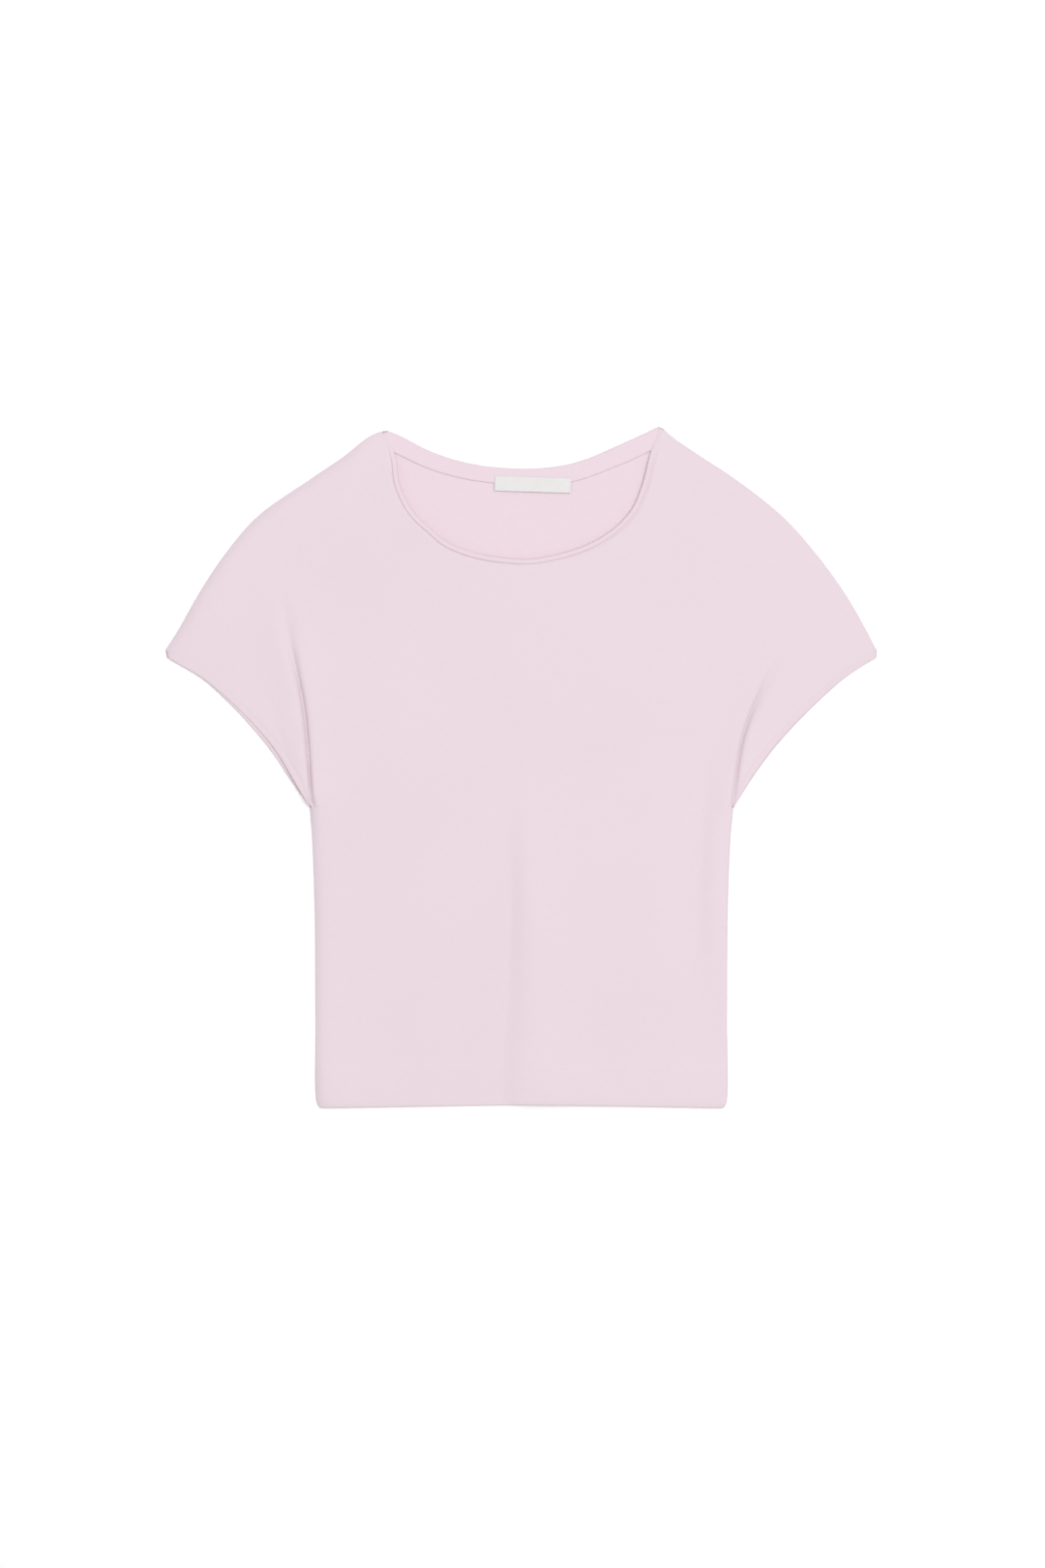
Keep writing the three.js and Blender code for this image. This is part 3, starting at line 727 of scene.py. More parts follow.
def strip_net(edge, seam, under, thickness, seam_height, dip=0.3, face_down=False, edge_wall=None,
              nose=NOSE_REACH):
    """A folded strip from its finished edge to its seam, where it dips, as two heights over a net.

    Its edge may be thinner than the rest, and a strip that lies face down hangs below its height.
    """
    share = STRIP_STEPS
    x = edge[:, :1] + (seam[:, :1] - edge[:, :1]) * share
    y = edge[:, 1:] + (seam[:, 1:] - edge[:, 1:]) * share
    width = np.linalg.norm(seam - edge, axis=1, keepdims=True)
    across = share * width
    along = np.concatenate([[0], np.cumsum(np.linalg.norm(np.diff(edge, axis=0), axis=1))])[:, None]
    under = np.broadcast_to(np.reshape(under, (-1, 1)), x.shape)
    dip = np.reshape(dip, (-1, 1)) * (1 - smoothstep(width - across, 0, SEAM_DIP_REACH))
    wall = np.reshape(thickness, (-1, 1))
    if edge_wall is not None:
        thin = np.reshape(edge_wall, (-1, 1))
        wall = thin + (wall - thin) * smoothstep(share, 0, THIN_EDGE_SHARE)
    over = under + wall - dip
    if face_down:
        over, under = under, np.maximum(under - thickness, 0) + UNDERSIDE_DIP * dip
    roll = roundness(closed_distance(x, y), roll_reach(x))
    over = seam_height + (over - seam_height) * roll
    under = seam_height + (under - seam_height) * roll
    middle = (over + under) / 2
    ends = roundness(across, nose) * roundness(width - across, SEAM_ROUNDING)
    half = (over - under) / 2 * ends
    return {"x": x, "y": y, "upper": middle + half, "lower": middle - half,
            "u": np.broadcast_to(along, x.shape), "v": across, "edge": np.exp(-across / WEAR_REACH)}


# %% Front neck binding
NECK_BINDING_WALL = 1.5
NECK_END_WALL = 1.15
NECK_END_EDGE_WALL = 0.6
NECK_SEAM_DIP = 1.5
NECK_STATIONS = 260
binding_edge = spaced(front_neck, NECK_STATIONS)
binding_seam = beside(binding_edge, -NECK_BINDING_WIDTH)
seam_x, seam_y = binding_seam[:, 0], binding_seam[:, 1]
binding_under = WALL + SEAM_GAP + main_lift(seam_x, seam_y)
binding_open = away_from_neck_points(seam_x, seam_y)
binding_wall = NECK_END_WALL + (NECK_BINDING_WALL - NECK_END_WALL) * binding_open
edge_wall = NECK_END_EDGE_WALL + (NECK_BINDING_WALL - NECK_END_EDGE_WALL) * binding_open
neck_binding = shell_mesh("neck_binding", [
    strip_net(binding_edge, binding_seam, binding_under, binding_wall, FRONT_SEAM_HEIGHT,
              dip=NECK_SEAM_DIP * binding_open, edge_wall=edge_wall),
])

# %% Cuff bindings
CUFF_BINDING_WALL = 1.2
CUFF_SEAM_DIP = {"left": 0.5, "right": 0.25}
CUFF_STATIONS = 120
BACK_CUFF_TOP = {"left": WALL + 1.3, "right": WALL}
BACK_CUFF_UNDER = 0.2
BACK_CUFF_NOSE = {"left": 0.6, "right": 1.5}


def cuff_nets(side):
    """Front and back halves of one sleeve opening's binding."""
    nets = []
    dip = np.linspace(0, CUFF_SEAM_DIP[side], CUFF_STATIONS + 1)
    for layer in ("front", "back"):
        edge = spaced(cuff_edge(side, layer), CUFF_STATIONS)
        seam = cuff_seam(side, layer, CUFF_WIDTH, CUFF_STATIONS)
        if layer == "front":
            under = WALL + SEAM_GAP + main_lift(seam[:, 0], seam[:, 1], FACE_FOLDS)
            nets.append(strip_net(edge, seam, under, CUFF_BINDING_WALL, FRONT_SEAM_HEIGHT, dip))
        else:
            nets.append(strip_net(edge, seam, BACK_CUFF_TOP[side], BACK_CUFF_TOP[side] - BACK_CUFF_UNDER,
                                  BACK_SEAM_HEIGHT, face_down=True, nose=BACK_CUFF_NOSE[side]))
    return nets


cuffs = {side: shell_mesh(f"cuff_{side}", cuff_nets(side)) for side in SIDES}

# %% Band inside the back neck
NECK_BAND_WALL = 1.0
BAND_UNDER = WALL + 0.05
BAND_NOSE = 0.8
BAND_TOP_TUCK = 0.015
BAND_END_TUCK = 4.5
BAND_STATIONS = 200
band_top = spaced(np.vstack([
    at_share(shoulder["left"], BAND_TOP_TUCK), back_neck, at_share(shoulder["right"], BAND_TOP_TUCK),
]), BAND_STATIONS)
seam_places = np.array(NECK_BAND_SEAM_PLACES)
for end, next_one in ((0, 1), (-1, -2)):
    outwards = seam_places[end] - seam_places[next_one]
    seam_places[end] += BAND_END_TUCK * outwards / np.linalg.norm(outwards)
band_seam = smooth_line(seam_places, BAND_STATIONS)
neck_band = shell_mesh("neck_band", [
    strip_net(band_seam, band_top, BAND_UNDER, NECK_BAND_WALL, FRONT_SEAM_HEIGHT, nose=BAND_NOSE),
])

# %% [markdown]
# The bare label
#
# A woven label is a short piece of stiff satin tape. Both of its ends are sewn down, so its lower edge
# stands off the cloth a little and throws a thin shadow. It is a small shell as well, lifted along its
# lower edge.

# %% Label
LABEL_WIDTH = 61
LABEL_DEPTH = 12
LABEL_PLACE = (9.3, 225.3)
LABEL_TILT = math.radians(-1.7)
LABEL_WALL = 0.5
LABEL_LIFT = 0.45
LABEL_UNDER = WALL + NECK_BAND_WALL + 0.15
LABEL_EDGE_REACH = 0.35
LABEL_WEAR_REACH = 1.5
LABEL_BOW_SHAPE = 0.7
LABEL_TOP_SHARE = 0.35
LABEL_STEPS = np.array([0, 0.002, 0.006, 0.012, 0.03])


def on_label(u, v):
    """Places on the garment for places on the tape, measured from its middle."""
    x = LABEL_PLACE[0] + u * math.cos(LABEL_TILT) - v * math.sin(LABEL_TILT)
    y = LABEL_PLACE[1] + u * math.sin(LABEL_TILT) + v * math.cos(LABEL_TILT)
    return x, y


def label_net():
    across = np.concatenate([LABEL_STEPS, np.linspace(0.06, 0.94, 30), 1 - LABEL_STEPS[::-1]])
    down = np.concatenate([LABEL_STEPS * 3, np.linspace(0.14, 0.86, 10), 1 - LABEL_STEPS[::-1] * 3])
    s, t = np.meshgrid(across, down)
    u, v = (s - 0.5) * LABEL_WIDTH, (t - 0.5) * LABEL_DEPTH
    x, y = on_label(u, v)
    bow = np.sin(math.pi * s) ** LABEL_BOW_SHAPE * (LABEL_TOP_SHARE + (1 - LABEL_TOP_SHARE) * (1 - t))
    under = LABEL_UNDER + LABEL_LIFT * bow
    rim = np.minimum(np.minimum(u + LABEL_WIDTH / 2, LABEL_WIDTH / 2 - u),
                     np.minimum(v + LABEL_DEPTH / 2, LABEL_DEPTH / 2 - v))
    half = LABEL_WALL / 2 * roundness(rim, LABEL_EDGE_REACH)
    middle = under + LABEL_WALL / 2
    return {"x": x, "y": y, "upper": middle + half, "lower": middle - half, "u": u, "v": v,
            "edge": np.exp(-rim / LABEL_WEAR_REACH)}


label = shell_mesh("label", [label_net()])

# %% [markdown]
# Sewing
#
# A machine stitch repeats at an even pitch along a line, which is what Geometry Nodes are good at. The
# tree below takes a line of edges, sets points on it at the pitch, puts a small thread bead on each
# point and turns it along the line. Its sizes are named inputs, and a seed makes each stitch slightly
# different, as real ones are. The result is turned into plain mesh, so the sewing exports as it looks.

# %% Geometry Nodes tree for a row of stitches
STITCH_INPUTS = {
    "Pitch": 2.6 * MM, "Stitch length": 1.9 * MM, "Thread width": 0.24 * MM, "Unevenness": 0.12,
}
STITCH_SEED = 3
BEAD = {"Segments": 8, "Rings": 5, "Radius": 0.5}


def stitch_tree():
    tree = bpy.data.node_groups.new("Row of stitches", "GeometryNodeTree")
    sockets = tree.interface
    sockets.new_socket("Line", in_out="INPUT", socket_type="NodeSocketGeometry")
    for name, value in STITCH_INPUTS.items():
        sockets.new_socket(name, in_out="INPUT", socket_type="NodeSocketFloat").default_value = value
    sockets.new_socket("Seed", in_out="INPUT", socket_type="NodeSocketInt").default_value = STITCH_SEED
    sockets.new_socket("Thread", in_out="INPUT", socket_type="NodeSocketMaterial")
    sockets.new_socket("Stitches", in_out="OUTPUT", socket_type="NodeSocketGeometry")
    nodes, link = tree.nodes, tree.links.new
    start, end = nodes.new("NodeGroupInput"), nodes.new("NodeGroupOutput")
    curve = nodes.new("GeometryNodeMeshToCurve")
    points = nodes.new("GeometryNodeResampleCurve")
    points.mode = "LENGTH"
    tangent = nodes.new("GeometryNodeInputTangent")
    turn = nodes.new("FunctionNodeAlignRotationToVector")
    turn.axis = "X"
    bead = nodes.new("GeometryNodeMeshUVSphere")
    for quality, value in BEAD.items():
        bead.inputs[quality].default_value = value
    size = nodes.new("ShaderNodeCombineXYZ")
    least = nodes.new("ShaderNodeMath")
    least.operation = "SUBTRACT"
    least.inputs[0].default_value = 1
    chance = nodes.new("FunctionNodeRandomValue")
    chance.inputs["Max"].default_value = 1
    vary = nodes.new("ShaderNodeVectorMath")
    vary.operation = "SCALE"
    place = nodes.new("GeometryNodeInstanceOnPoints")
    real = nodes.new("GeometryNodeRealizeInstances")
    smooth = nodes.new("GeometryNodeSetShadeSmooth")
    paint = nodes.new("GeometryNodeSetMaterial")
    link(start.outputs["Line"], curve.inputs["Mesh"])
    link(curve.outputs["Curve"], points.inputs["Curve"])
    link(start.outputs["Pitch"], points.inputs["Length"])
    link(points.outputs["Curve"], place.inputs["Points"])
    link(bead.outputs["Mesh"], place.inputs["Instance"])
    link(tangent.outputs["Tangent"], turn.inputs["Vector"])
    link(turn.outputs["Rotation"], place.inputs["Rotation"])
    link(start.outputs["Stitch length"], size.inputs["X"])
    link(start.outputs["Thread width"], size.inputs["Y"])
    link(start.outputs["Thread width"], size.inputs["Z"])
    link(start.outputs["Unevenness"], least.inputs[1])
    link(least.outputs["Value"], chance.inputs[2])
    link(start.outputs["Seed"], chance.inputs["Seed"])
    link(size.outputs["Vector"], vary.inputs[0])
    link(chance.outputs[1], vary.inputs["Scale"])
    link(vary.outputs["Vector"], place.inputs["Scale"])
    link(place.outputs["Instances"], real.inputs["Geometry"])
    link(real.outputs["Geometry"], smooth.inputs["Geometry"])
    link(smooth.outputs["Geometry"], paint.inputs["Geometry"])
    link(start.outputs["Thread"], paint.inputs["Material"])
    link(paint.outputs["Geometry"], end.inputs["Stitches"])
    return tree


sewing = stitch_tree()
print("stitch inputs:", [s.name for s in sewing.interface.items_tree if s.in_out == "INPUT"])

# %% [markdown]
# Thread and cloth finishes
#
# Fine jersey is knitted from one yarn: columns of small V shapes on its outer face, and rows of small
# arcs on its inner face. At 0.7 mm a column they can hardly be seen from a step away, but they soften
# the light. The knit is drawn with wave arithmetic on the piece's own pattern, which follows the cloth
# and is stored in metres, so its scale is the real one on every piece. The recesses between the loops
# get a painted shade, a slightly darker colour. Two noises add the cloudy tone of dyed cotton. The
# folded edges are a trace paler where they have been pressed and rubbed. Light from overhead hardly
# darkens a crease as shallow as these, so the bottom of a crease also gets a painted shade, a slightly
# deeper tone. That is a help to the eye, as in a drawing, and not a dye. The edge wear and the crease
# shade are stored on the mesh by the shell function, so they follow the cloth.

# %% Material tools
WALE_PITCH = 0.72 * MM
COURSE_PITCH = 0.56 * MM


def calculate(tree, operation, first, second=0.0):
    """A Math node whose two inputs are numbers or other nodes' outputs."""
    node = tree.nodes.new("ShaderNodeMath")
    node.operation = operation
    for socket, value in zip(node.inputs, (first, second)):
        if isinstance(value, (int, float)):
            socket.default_value = value
        else:
            tree.links.new(value, socket)
    return node.outputs[0]


def pattern_axes(tree):
    place = tree.nodes.new("ShaderNodeUVMap")
    place.uv_map = "pattern"
    axes = tree.nodes.new("ShaderNodeSeparateXYZ")
    tree.links.new(place.outputs["UV"], axes.inputs[0])
    return axes.outputs["X"], axes.outputs["Y"]


def knit_height(tree, outer_face):
    """Height of the knit, from 0 to 1: columns of V shapes outside, rows of arcs inside."""
    u, v = pattern_axes(tree)
    column = calculate(tree, "MULTIPLY", u, math.pi / WALE_PITCH)
    ridge = calculate(tree, "ABSOLUTE", calculate(tree, "SINE", column))
    slant = calculate(tree, "MULTIPLY", ridge, 2.4 if outer_face else 0.9)
    row = calculate(tree, "MULTIPLY", v, math.tau / COURSE_PITCH)
    loop = calculate(tree, "COSINE", calculate(tree, "ADD", row, slant))
    loop = calculate(tree, "MULTIPLY_ADD", loop, 0.22 if outer_face else 0.4)
    loop.node.inputs[2].default_value = 0.5
    if not outer_face:
        return loop
    return calculate(tree, "MULTIPLY", loop, calculate(tree, "POWER", ridge, 0.6))


def noise(tree, scale, detail=2.0, roughness=0.5):
    place = tree.nodes.new("ShaderNodeTexCoord")
    node = tree.nodes.new("ShaderNodeTexNoise")
    node.inputs["Scale"].default_value = scale
    node.inputs["Detail"].default_value = detail
    node.inputs["Roughness"].default_value = roughness
    tree.links.new(place.outputs["Object"], node.inputs["Vector"])
    return node.outputs["Fac"]


def ranged(tree, value, low, high, from_low=0.3, from_high=0.7):
    node = tree.nodes.new("ShaderNodeMapRange")
    node.inputs["From Min"].default_value = from_low
    node.inputs["From Max"].default_value = from_high
    node.inputs["To Min"].default_value = low
    node.inputs["To Max"].default_value = high
    tree.links.new(value, node.inputs["Value"])
    return node.outputs["Result"]


def toned(tree, colour, share, other):
    """Mixes a colour towards another by a share that changes over the surface."""
    node = tree.nodes.new("ShaderNodeMix")
    node.data_type = "RGBA"
    for socket, value in ((node.inputs["A"], colour), (node.inputs["B"], other)):
        if isinstance(value, tuple):
            socket.default_value = (*value, 1)
        else:
            tree.links.new(value, socket)
    tree.links.new(share, node.inputs["Factor"])
    return node.outputs["Result"]


def stored_value(tree, name):
    """A value that the mesh carries at every point."""
    node = tree.nodes.new("ShaderNodeAttribute")
    node.attribute_name = name
    return node.outputs["Fac"]


def scaled(colour, factor):
    return tuple(min(c * factor, 1.0) for c in colour)


def new_finish(name):
    """A material with its node tree and its shader."""
    material = bpy.data.materials.new(name)
    material.use_nodes = True
    return material, material.node_tree, material.node_tree.nodes["Principled BSDF"]


def set_shader(shader, values):
    for socket, value in values.items():
        shader.inputs[socket].default_value = value


def raise_relief(tree, shader, height, strength, depth):
    """Bends the light as if the surface had a fine relief of the given depth in millimetres."""
    relief = tree.nodes.new("ShaderNodeBump")
    relief.inputs["Strength"].default_value = strength
    relief.inputs["Distance"].default_value = depth * MM
    tree.links.new(height, relief.inputs["Height"])
    tree.links.new(relief.outputs["Normal"], shader.inputs["Normal"])


# %% Jersey
CLOUD_SCALE = 9
MOTTLE_SCALE = 260
FUZZ_SCALE = 2600
CLOUD_TONES = (0.992, 1.008)
# How strongly each effect shows, and how dark the tone is that it mixes in
MOTTLE = {"share": 0.16, "tone": 0.93}
# Painted shade between the knit's loops, where its recesses lie
LOOP_PAINTED_SHADE = {"share": 0.10, "tone": 0.86}
# Painted shade in the bottom of a crease
CREASE_PAINTED_SHADE = {"share": 0.2, "tone": 0.5}
RUBBED_SHARE = 0.03
JERSEY_ROUGHNESS = (0.82, 0.94)
FUZZ_SHARE = 0.5
KNIT_DEPTH = 0.12


def jersey(name, colour, outer_face=True, bump=0.35):
    """Matt fine jersey with a soft sheen."""
    material, tree, shader = new_finish(name)

    def darkened(tone, where, effect):
        share = calculate(tree, "MULTIPLY", where, effect["share"])
        return toned(tree, tone, share, scaled(colour, effect["tone"]))

    knit = knit_height(tree, outer_face)
    clouds = ranged(tree, noise(tree, CLOUD_SCALE, 3), 0, 1)
    dyed = toned(tree, scaled(colour, CLOUD_TONES[0]), clouds, scaled(colour, CLOUD_TONES[1]))
    mottled = darkened(dyed, ranged(tree, noise(tree, MOTTLE_SCALE, 2), 0, 1), MOTTLE)
    # Painted shade in the recesses between the loops of the knit
    loop_shaded = darkened(mottled, calculate(tree, "SUBTRACT", 1.0, knit), LOOP_PAINTED_SHADE)
    rubbed = calculate(tree, "MULTIPLY", stored_value(tree, "edge_wear"), RUBBED_SHARE)
    worn = toned(tree, loop_shaded, rubbed, tuple((c + max(colour)) / 2 for c in colour))
    # Painted shade in the bottom of each crease, darker colour where light would fall less
    crease_shaded = darkened(worn, stored_value(tree, "painted_crease_shade"), CREASE_PAINTED_SHADE)
    tree.links.new(crease_shaded, shader.inputs["Base Color"])
    roughness = ranged(tree, noise(tree, MOTTLE_SCALE, 2), *JERSEY_ROUGHNESS)
    tree.links.new(roughness, shader.inputs["Roughness"])
    fuzz = calculate(tree, "MULTIPLY", noise(tree, FUZZ_SCALE, 3, 0.6), FUZZ_SHARE)
    raise_relief(tree, shader, calculate(tree, "ADD", knit, fuzz), bump, KNIT_DEPTH)
    set_shader(shader, {
        "Sheen Weight": 0.14, "Sheen Roughness": 0.45, "Sheen Tint": (1.0, 0.93, 0.96, 1),
        "Specular IOR Level": 0.25,
    })
    return material


FRONT_PINK = (0.800, 0.672, 0.731)
BINDING_PINK = (0.800, 0.664, 0.726)
INSIDE_PINK = (0.822, 0.675, 0.738)
outer_jersey = jersey("outer jersey", FRONT_PINK)
inner_jersey = jersey("inner jersey", INSIDE_PINK, outer_face=False)
binding_jersey = jersey("binding jersey", BINDING_PINK, bump=0.45)
band_jersey = jersey("band jersey", INSIDE_PINK, bump=0.4)

# %% Thread and label
THREAD_TWIST = 0.45 * MM
WAVE_TEXTURE_STRETCH = 0.314
TAPE_RIB = 0.38 * MM
THREAD_RELIEF = 0.05
TAPE_RELIEF = 0.06


def thread(name, colour):
    """Twisted polyester thread: fine slanted ridges and a slight gloss."""
    material, tree, shader = new_finish(name)
    place = tree.nodes.new("ShaderNodeTexCoord")
    twist = tree.nodes.new("ShaderNodeTexWave")
    twist.bands_direction = "DIAGONAL"
    twist.inputs["Scale"].default_value = WAVE_TEXTURE_STRETCH / THREAD_TWIST
    tree.links.new(place.outputs["Object"], twist.inputs["Vector"])
    tree.links.new(toned(tree, colour, twist.outputs["Fac"], scaled(colour, 0.88)),
                   shader.inputs["Base Color"])
    raise_relief(tree, shader, twist.outputs["Fac"], 0.4, THREAD_RELIEF)
    tree.links.new(ranged(tree, noise(tree, FUZZ_SCALE), 0.42, 0.6), shader.inputs["Roughness"])
    set_shader(shader, {"Sheen Weight": 0.1})
    return material


def satin_tape(name, colour):
    """Stiff satin tape, woven across in fine ribs."""
    material, tree, shader = new_finish(name)
    u, v = pattern_axes(tree)
    rib = calculate(tree, "SINE", calculate(tree, "MULTIPLY", v, math.tau / TAPE_RIB))
    float_thread = calculate(tree, "SINE", calculate(tree, "MULTIPLY", u, math.pi / TAPE_RIB))
    weave = calculate(tree, "MULTIPLY_ADD", calculate(tree, "MULTIPLY", rib, float_thread), 0.5)
    weave.node.inputs[2].default_value = 0.5
    clouds = ranged(tree, noise(tree, CLOUD_SCALE * 6), 0, 1)
    tone = toned(tree, scaled(colour, 0.985), clouds, scaled(colour, 1.01))
    shade = calculate(tree, "MULTIPLY", weave, 0.2)
    tree.links.new(toned(tree, tone, shade, scaled(colour, 0.93)), shader.inputs["Base Color"])
    raise_relief(tree, shader, weave, 0.3, TAPE_RELIEF)
    tree.links.new(ranged(tree, noise(tree, MOTTLE_SCALE), 0.4, 0.5), shader.inputs["Roughness"])
    set_shader(shader, {"Specular IOR Level": 0.4})
    return material


pink_thread = thread("pink thread", scaled(FRONT_PINK, 0.99))
label_thread = thread("label thread", (0.78, 0.77, 0.76))
label_tape = satin_tape("label tape", (0.735, 0.725, 0.72))

for piece, material in (
    (front, outer_jersey), (back, inner_jersey), (neck_binding, binding_jersey),
    (neck_band, band_jersey), (cuffs["left"], binding_jersey), (cuffs["right"], binding_jersey),
    (label, label_tape),
):
    piece.data.materials.append(material)

# %% [markdown]
# Rows of sewing on the garment
#
# Each row needs its line in space, so every place on it takes its height from the surface below. The
# hem is held by one row 31 mm up. The bindings are sewn down in the ditch of their seams, the band
# close to its lower edge, and the label at its two short ends.

# %% Lines to sew along
THREAD_SINK = 0.1
HEM_ROW_INSET = 3
ROW_CLEARANCE = 2
BAND_ROW_INSET = 0.9


def raised(line, height):
    """Points of a line with a height each, in millimetres."""
    return np.column_stack([line, np.broadcast_to(height, len(line))])


def kept_inside(line, clearance):
    """The places of a line that lie clear of the sides and shoulders."""
    return line[closed_distance(line[:, 0], line[:, 1]) > clearance]


def sewn_rows(name, lines, material, **sizes):
    """Stitches along each line, made with the node tree and turned into one plain mesh."""
    vertices, edges = [], []
    for line in lines:
        first = len(vertices)
        vertices += (line * MM).tolist()
        edges += [(first + k, first + k + 1) for k in range(len(line) - 1)]
    guide = bpy.data.meshes.new(f"{name}_line")
    guide.from_pydata(vertices, edges, [])
    path = bpy.data.objects.new(f"{name}_line", guide)
    bpy.context.scene.collection.objects.link(path)
    modifier = path.modifiers.new("sewing", "NODES")
    modifier.node_group = sewing
    sockets = {s.name: s.identifier for s in sewing.interface.items_tree if s.in_out == "INPUT"}
    modifier[sockets["Thread"]] = material
    for size, value in {**STITCH_INPUTS, **sizes}.items():
        modifier[sockets[size]] = value
    modifier[sockets["Seed"]] = STITCH_SEED
    seen = path.evaluated_get(bpy.context.evaluated_depsgraph_get())
    mesh = bpy.data.meshes.new_from_object(seen)
    stitches = bpy.data.objects.new(name, mesh)
    bpy.context.scene.collection.objects.link(stitches)
    bpy.data.objects.remove(path)
    print(f"  {name}: {len(mesh.polygons)} faces")
    return stitches


hem_x = np.linspace(side_edge["left"][-3, 0] + HEM_ROW_INSET, side_edge["right"][-3, 0] - HEM_ROW_INSET, 90)
hem_line = np.column_stack([hem_x, np.full(len(hem_x), HEM_MIDDLE[1] + HEM_DEPTH)])
front_hem = raised(hem_line, front_heights(hem_line[:, 0], hem_line[:, 1])[0] - THREAD_SINK)
back_hem = raised(hem_line, back_heights(hem_line[:, 0], hem_line[:, 1])[1] + THREAD_SINK)
neck_ditch = kept_inside(beside(binding_edge, -(NECK_BINDING_WIDTH + SEAM_GAP / 2)), ROW_CLEARANCE)
ditch_height = front_face(neck_ditch[:, 0], neck_ditch[:, 1]) - THREAD_SINK
cuff_ditches = {}
for name in SIDES:
    ditch = kept_inside(cuff_seam(name, "front", CUFF_WIDTH + SEAM_GAP / 2), ROW_CLEARANCE)
    cuff_ditches[name] = raised(ditch, front_face(ditch[:, 0], ditch[:, 1]) - THREAD_SINK)
band_line = beside(band_seam, BAND_ROW_INSET)[4:-4]

hem_stitches = sewn_rows("hem_stitches_front", [front_hem], pink_thread)
back_hem_stitches = sewn_rows("hem_stitches_back", [back_hem], pink_thread)
neck_stitches = sewn_rows("neck_stitches", [raised(neck_ditch, ditch_height)], pink_thread)
cuff_stitches = {
    name: sewn_rows(f"cuff_stitches_{name}", [cuff_ditches[name]], pink_thread) for name in SIDES
}
band_height = BAND_UNDER + NECK_BAND_WALL
band_stitches = sewn_rows("band_stitches", [raised(band_line, band_height)], pink_thread)


LABEL_SEWN_SHARE = 0.8
LABEL_END_INSET = 0.022
LABEL_STITCH_HEIGHT = LABEL_UNDER + LABEL_WALL + 0.18


def label_end(share):
    """A short line down one end of the label."""
    down = np.linspace(-LABEL_SEWN_SHARE / 2, LABEL_SEWN_SHARE / 2, 8) * LABEL_DEPTH
    x, y = on_label((share - 0.5) * LABEL_WIDTH, down)
    return raised(np.column_stack([x, y]), LABEL_STITCH_HEIGHT)


label_ends = [label_end(LABEL_END_INSET), label_end(1 - LABEL_END_INSET)]
label_stitches = sewn_rows("label_stitches", label_ends, label_thread,
                           **{"Pitch": 1.7 * MM, "Stitch length": 1.3 * MM})

# %% [markdown]
# Fastening the pieces to the solid model
#
# Every piece rides on the one rigid body of the garment, and the part of the solid model that it
# stands for is hidden.

# %% Bodies, and the solid parts hidden
ROOT = "root"
for piece, node, slot in (
    (front, "front_panel", "jersey"),
    (back, "back_panel", "inside_jersey"),
    (neck_binding, "front_neck_binding", "binding_jersey"),
    (neck_band, "back_neck_band", "inside_jersey"),
    (cuffs["left"], "cuff_binding_left", "binding_jersey"),
    (cuffs["right"], "cuff_binding_right", "binding_jersey"),
    (label, "label_blank", "label_weave"),
):
    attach(piece, ROOT)
    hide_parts(node)

for piece in (hem_stitches, back_hem_stitches, neck_stitches, band_stitches, *cuff_stitches.values()):
    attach(piece, ROOT)
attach(label_stitches, ROOT)

# %% [markdown]
# Floor, light and camera
#
# The photograph is a plain cut-out on white, taken from straight above in very soft light that comes a
# little more from the right. So the floor is a plain pale surface, the world gives even light from all
# round, and a wide softbox hangs overhead, a little to the right of the garment.

# %% Floor
FLOOR_SIZE = 12.0
FLOOR_TONE = (0.975, 0.975, 0.975)


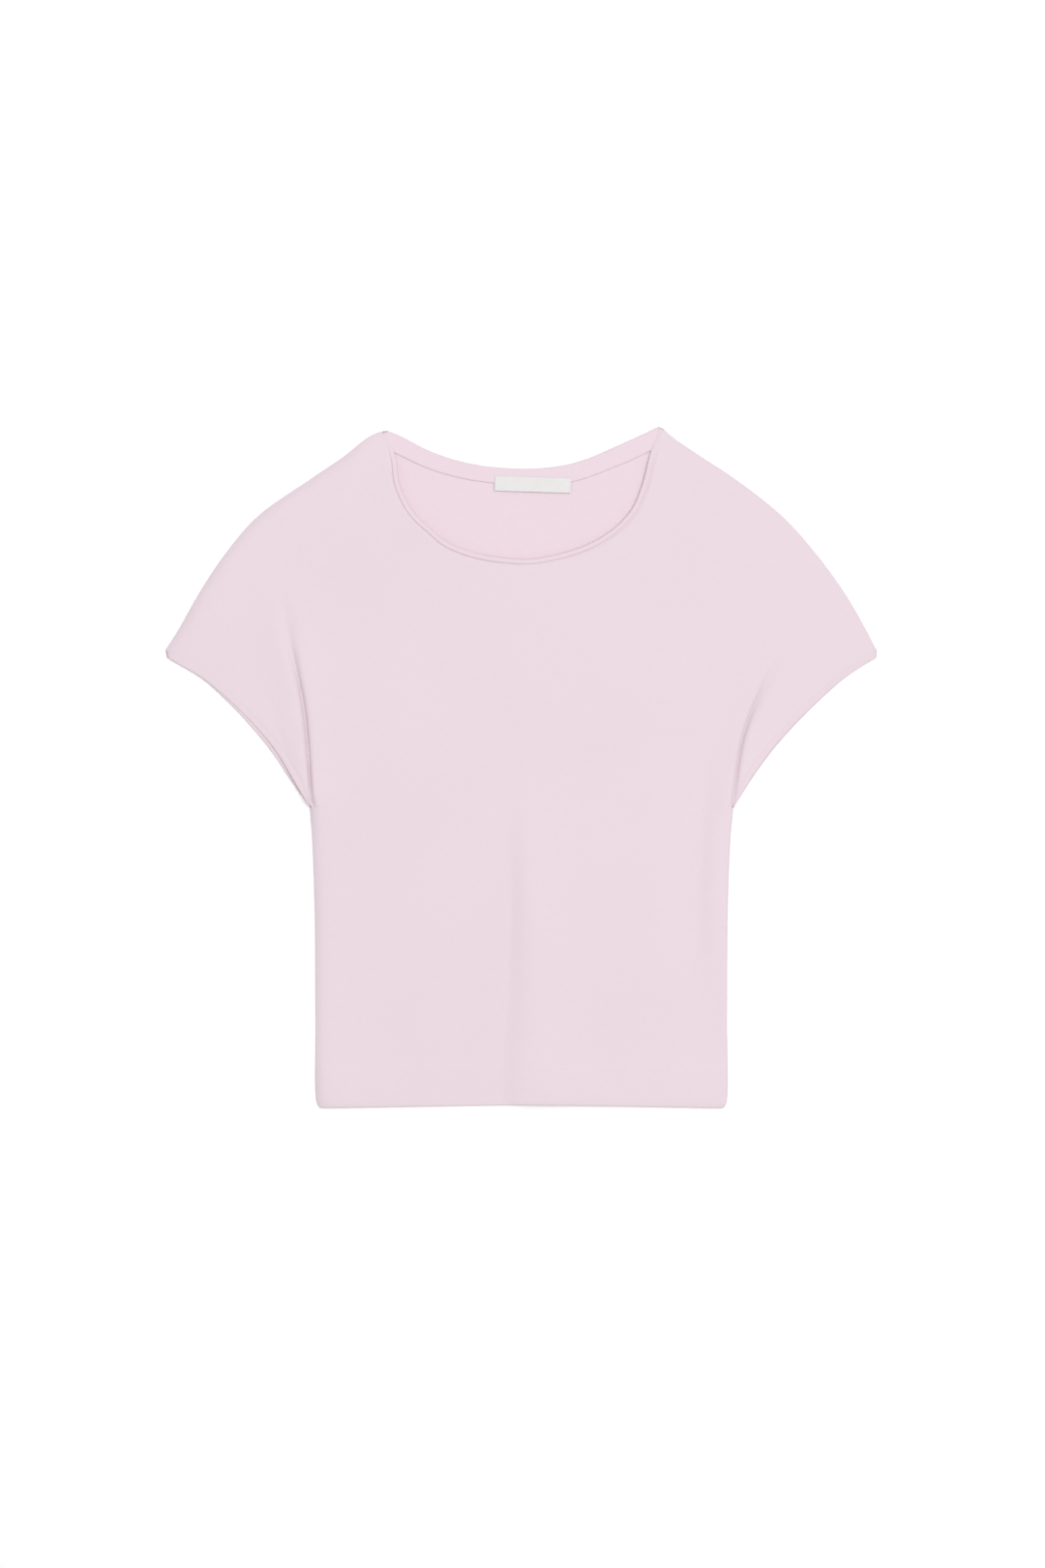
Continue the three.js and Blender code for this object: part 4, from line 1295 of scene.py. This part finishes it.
def pale_floor():
    half = FLOOR_SIZE / 2
    corners = [(-half, -half, 0), (half, -half, 0), (half, half, 0), (-half, half, 0)]
    mesh = bpy.data.meshes.new("floor")
    mesh.from_pydata(corners, [], [(0, 1, 2, 3)])
    floor = bpy.data.objects.new("floor", mesh)
    bpy.context.scene.collection.objects.link(floor)
    material, tree, shader = new_finish("pale floor")
    grain = ranged(tree, noise(tree, 40, 4), 0, 1)
    tree.links.new(toned(tree, scaled(FLOOR_TONE, 0.998), grain, FLOOR_TONE), shader.inputs["Base Color"])
    set_shader(shader, {"Roughness": 0.9, "Specular IOR Level": 0.1})
    mesh.materials.append(material)
    return floor


floor = pale_floor()

# %% World and softbox
WORLD_LIGHT = 0.43
SOFTBOX_POWER = 306
SOFTBOX_SIZE = 4.5
SOFTBOX_PLACE = (1.0, 0.7, 6.3)


def aim(thing, target=(0, 0, 0)):
    """Turns a lamp so that it points at the target."""
    thing.rotation_euler = (Vector(target) - thing.location).to_track_quat("-Z", "Y").to_euler()


scene = bpy.context.scene
world = bpy.data.worlds.new("studio")
world.use_nodes = True
world.node_tree.nodes["Background"].inputs["Color"].default_value = (1, 1, 1, 1)
world.node_tree.nodes["Background"].inputs["Strength"].default_value = WORLD_LIGHT
scene.world = world
softbox_data = bpy.data.lights.new("softbox", "AREA")
softbox_data.energy = SOFTBOX_POWER
softbox_data.size = SOFTBOX_SIZE
softbox = bpy.data.objects.new("softbox", softbox_data)
softbox.location = SOFTBOX_PLACE
aim(softbox)
scene.collection.objects.link(softbox)
scene.view_settings.view_transform = "Standard"

# %% Camera straight above
PHOTO_SIZE = (1080, 1620)
PHOTO_MM_PER_PIXEL = 0.77
PHOTO_ORIGIN = (538.5, 793)
LENS = 85
SENSOR = 36
CLOTH_HEIGHT = 3.5

camera_data = bpy.data.cameras.new("camera")
camera_data.lens = LENS
camera_data.sensor_width = SENSOR
camera = bpy.data.objects.new("camera", camera_data)
framed = PHOTO_SIZE[1] * PHOTO_MM_PER_PIXEL
camera.location = (
    (PHOTO_SIZE[0] / 2 - PHOTO_ORIGIN[0]) * PHOTO_MM_PER_PIXEL * MM,
    (PHOTO_ORIGIN[1] - PHOTO_SIZE[1] / 2) * PHOTO_MM_PER_PIXEL * MM,
    (framed * LENS / SENSOR + CLOTH_HEIGHT) * MM,
)
scene.collection.objects.link(camera)
scene.camera = camera
print("camera height, m:", round(camera.location.z, 3))
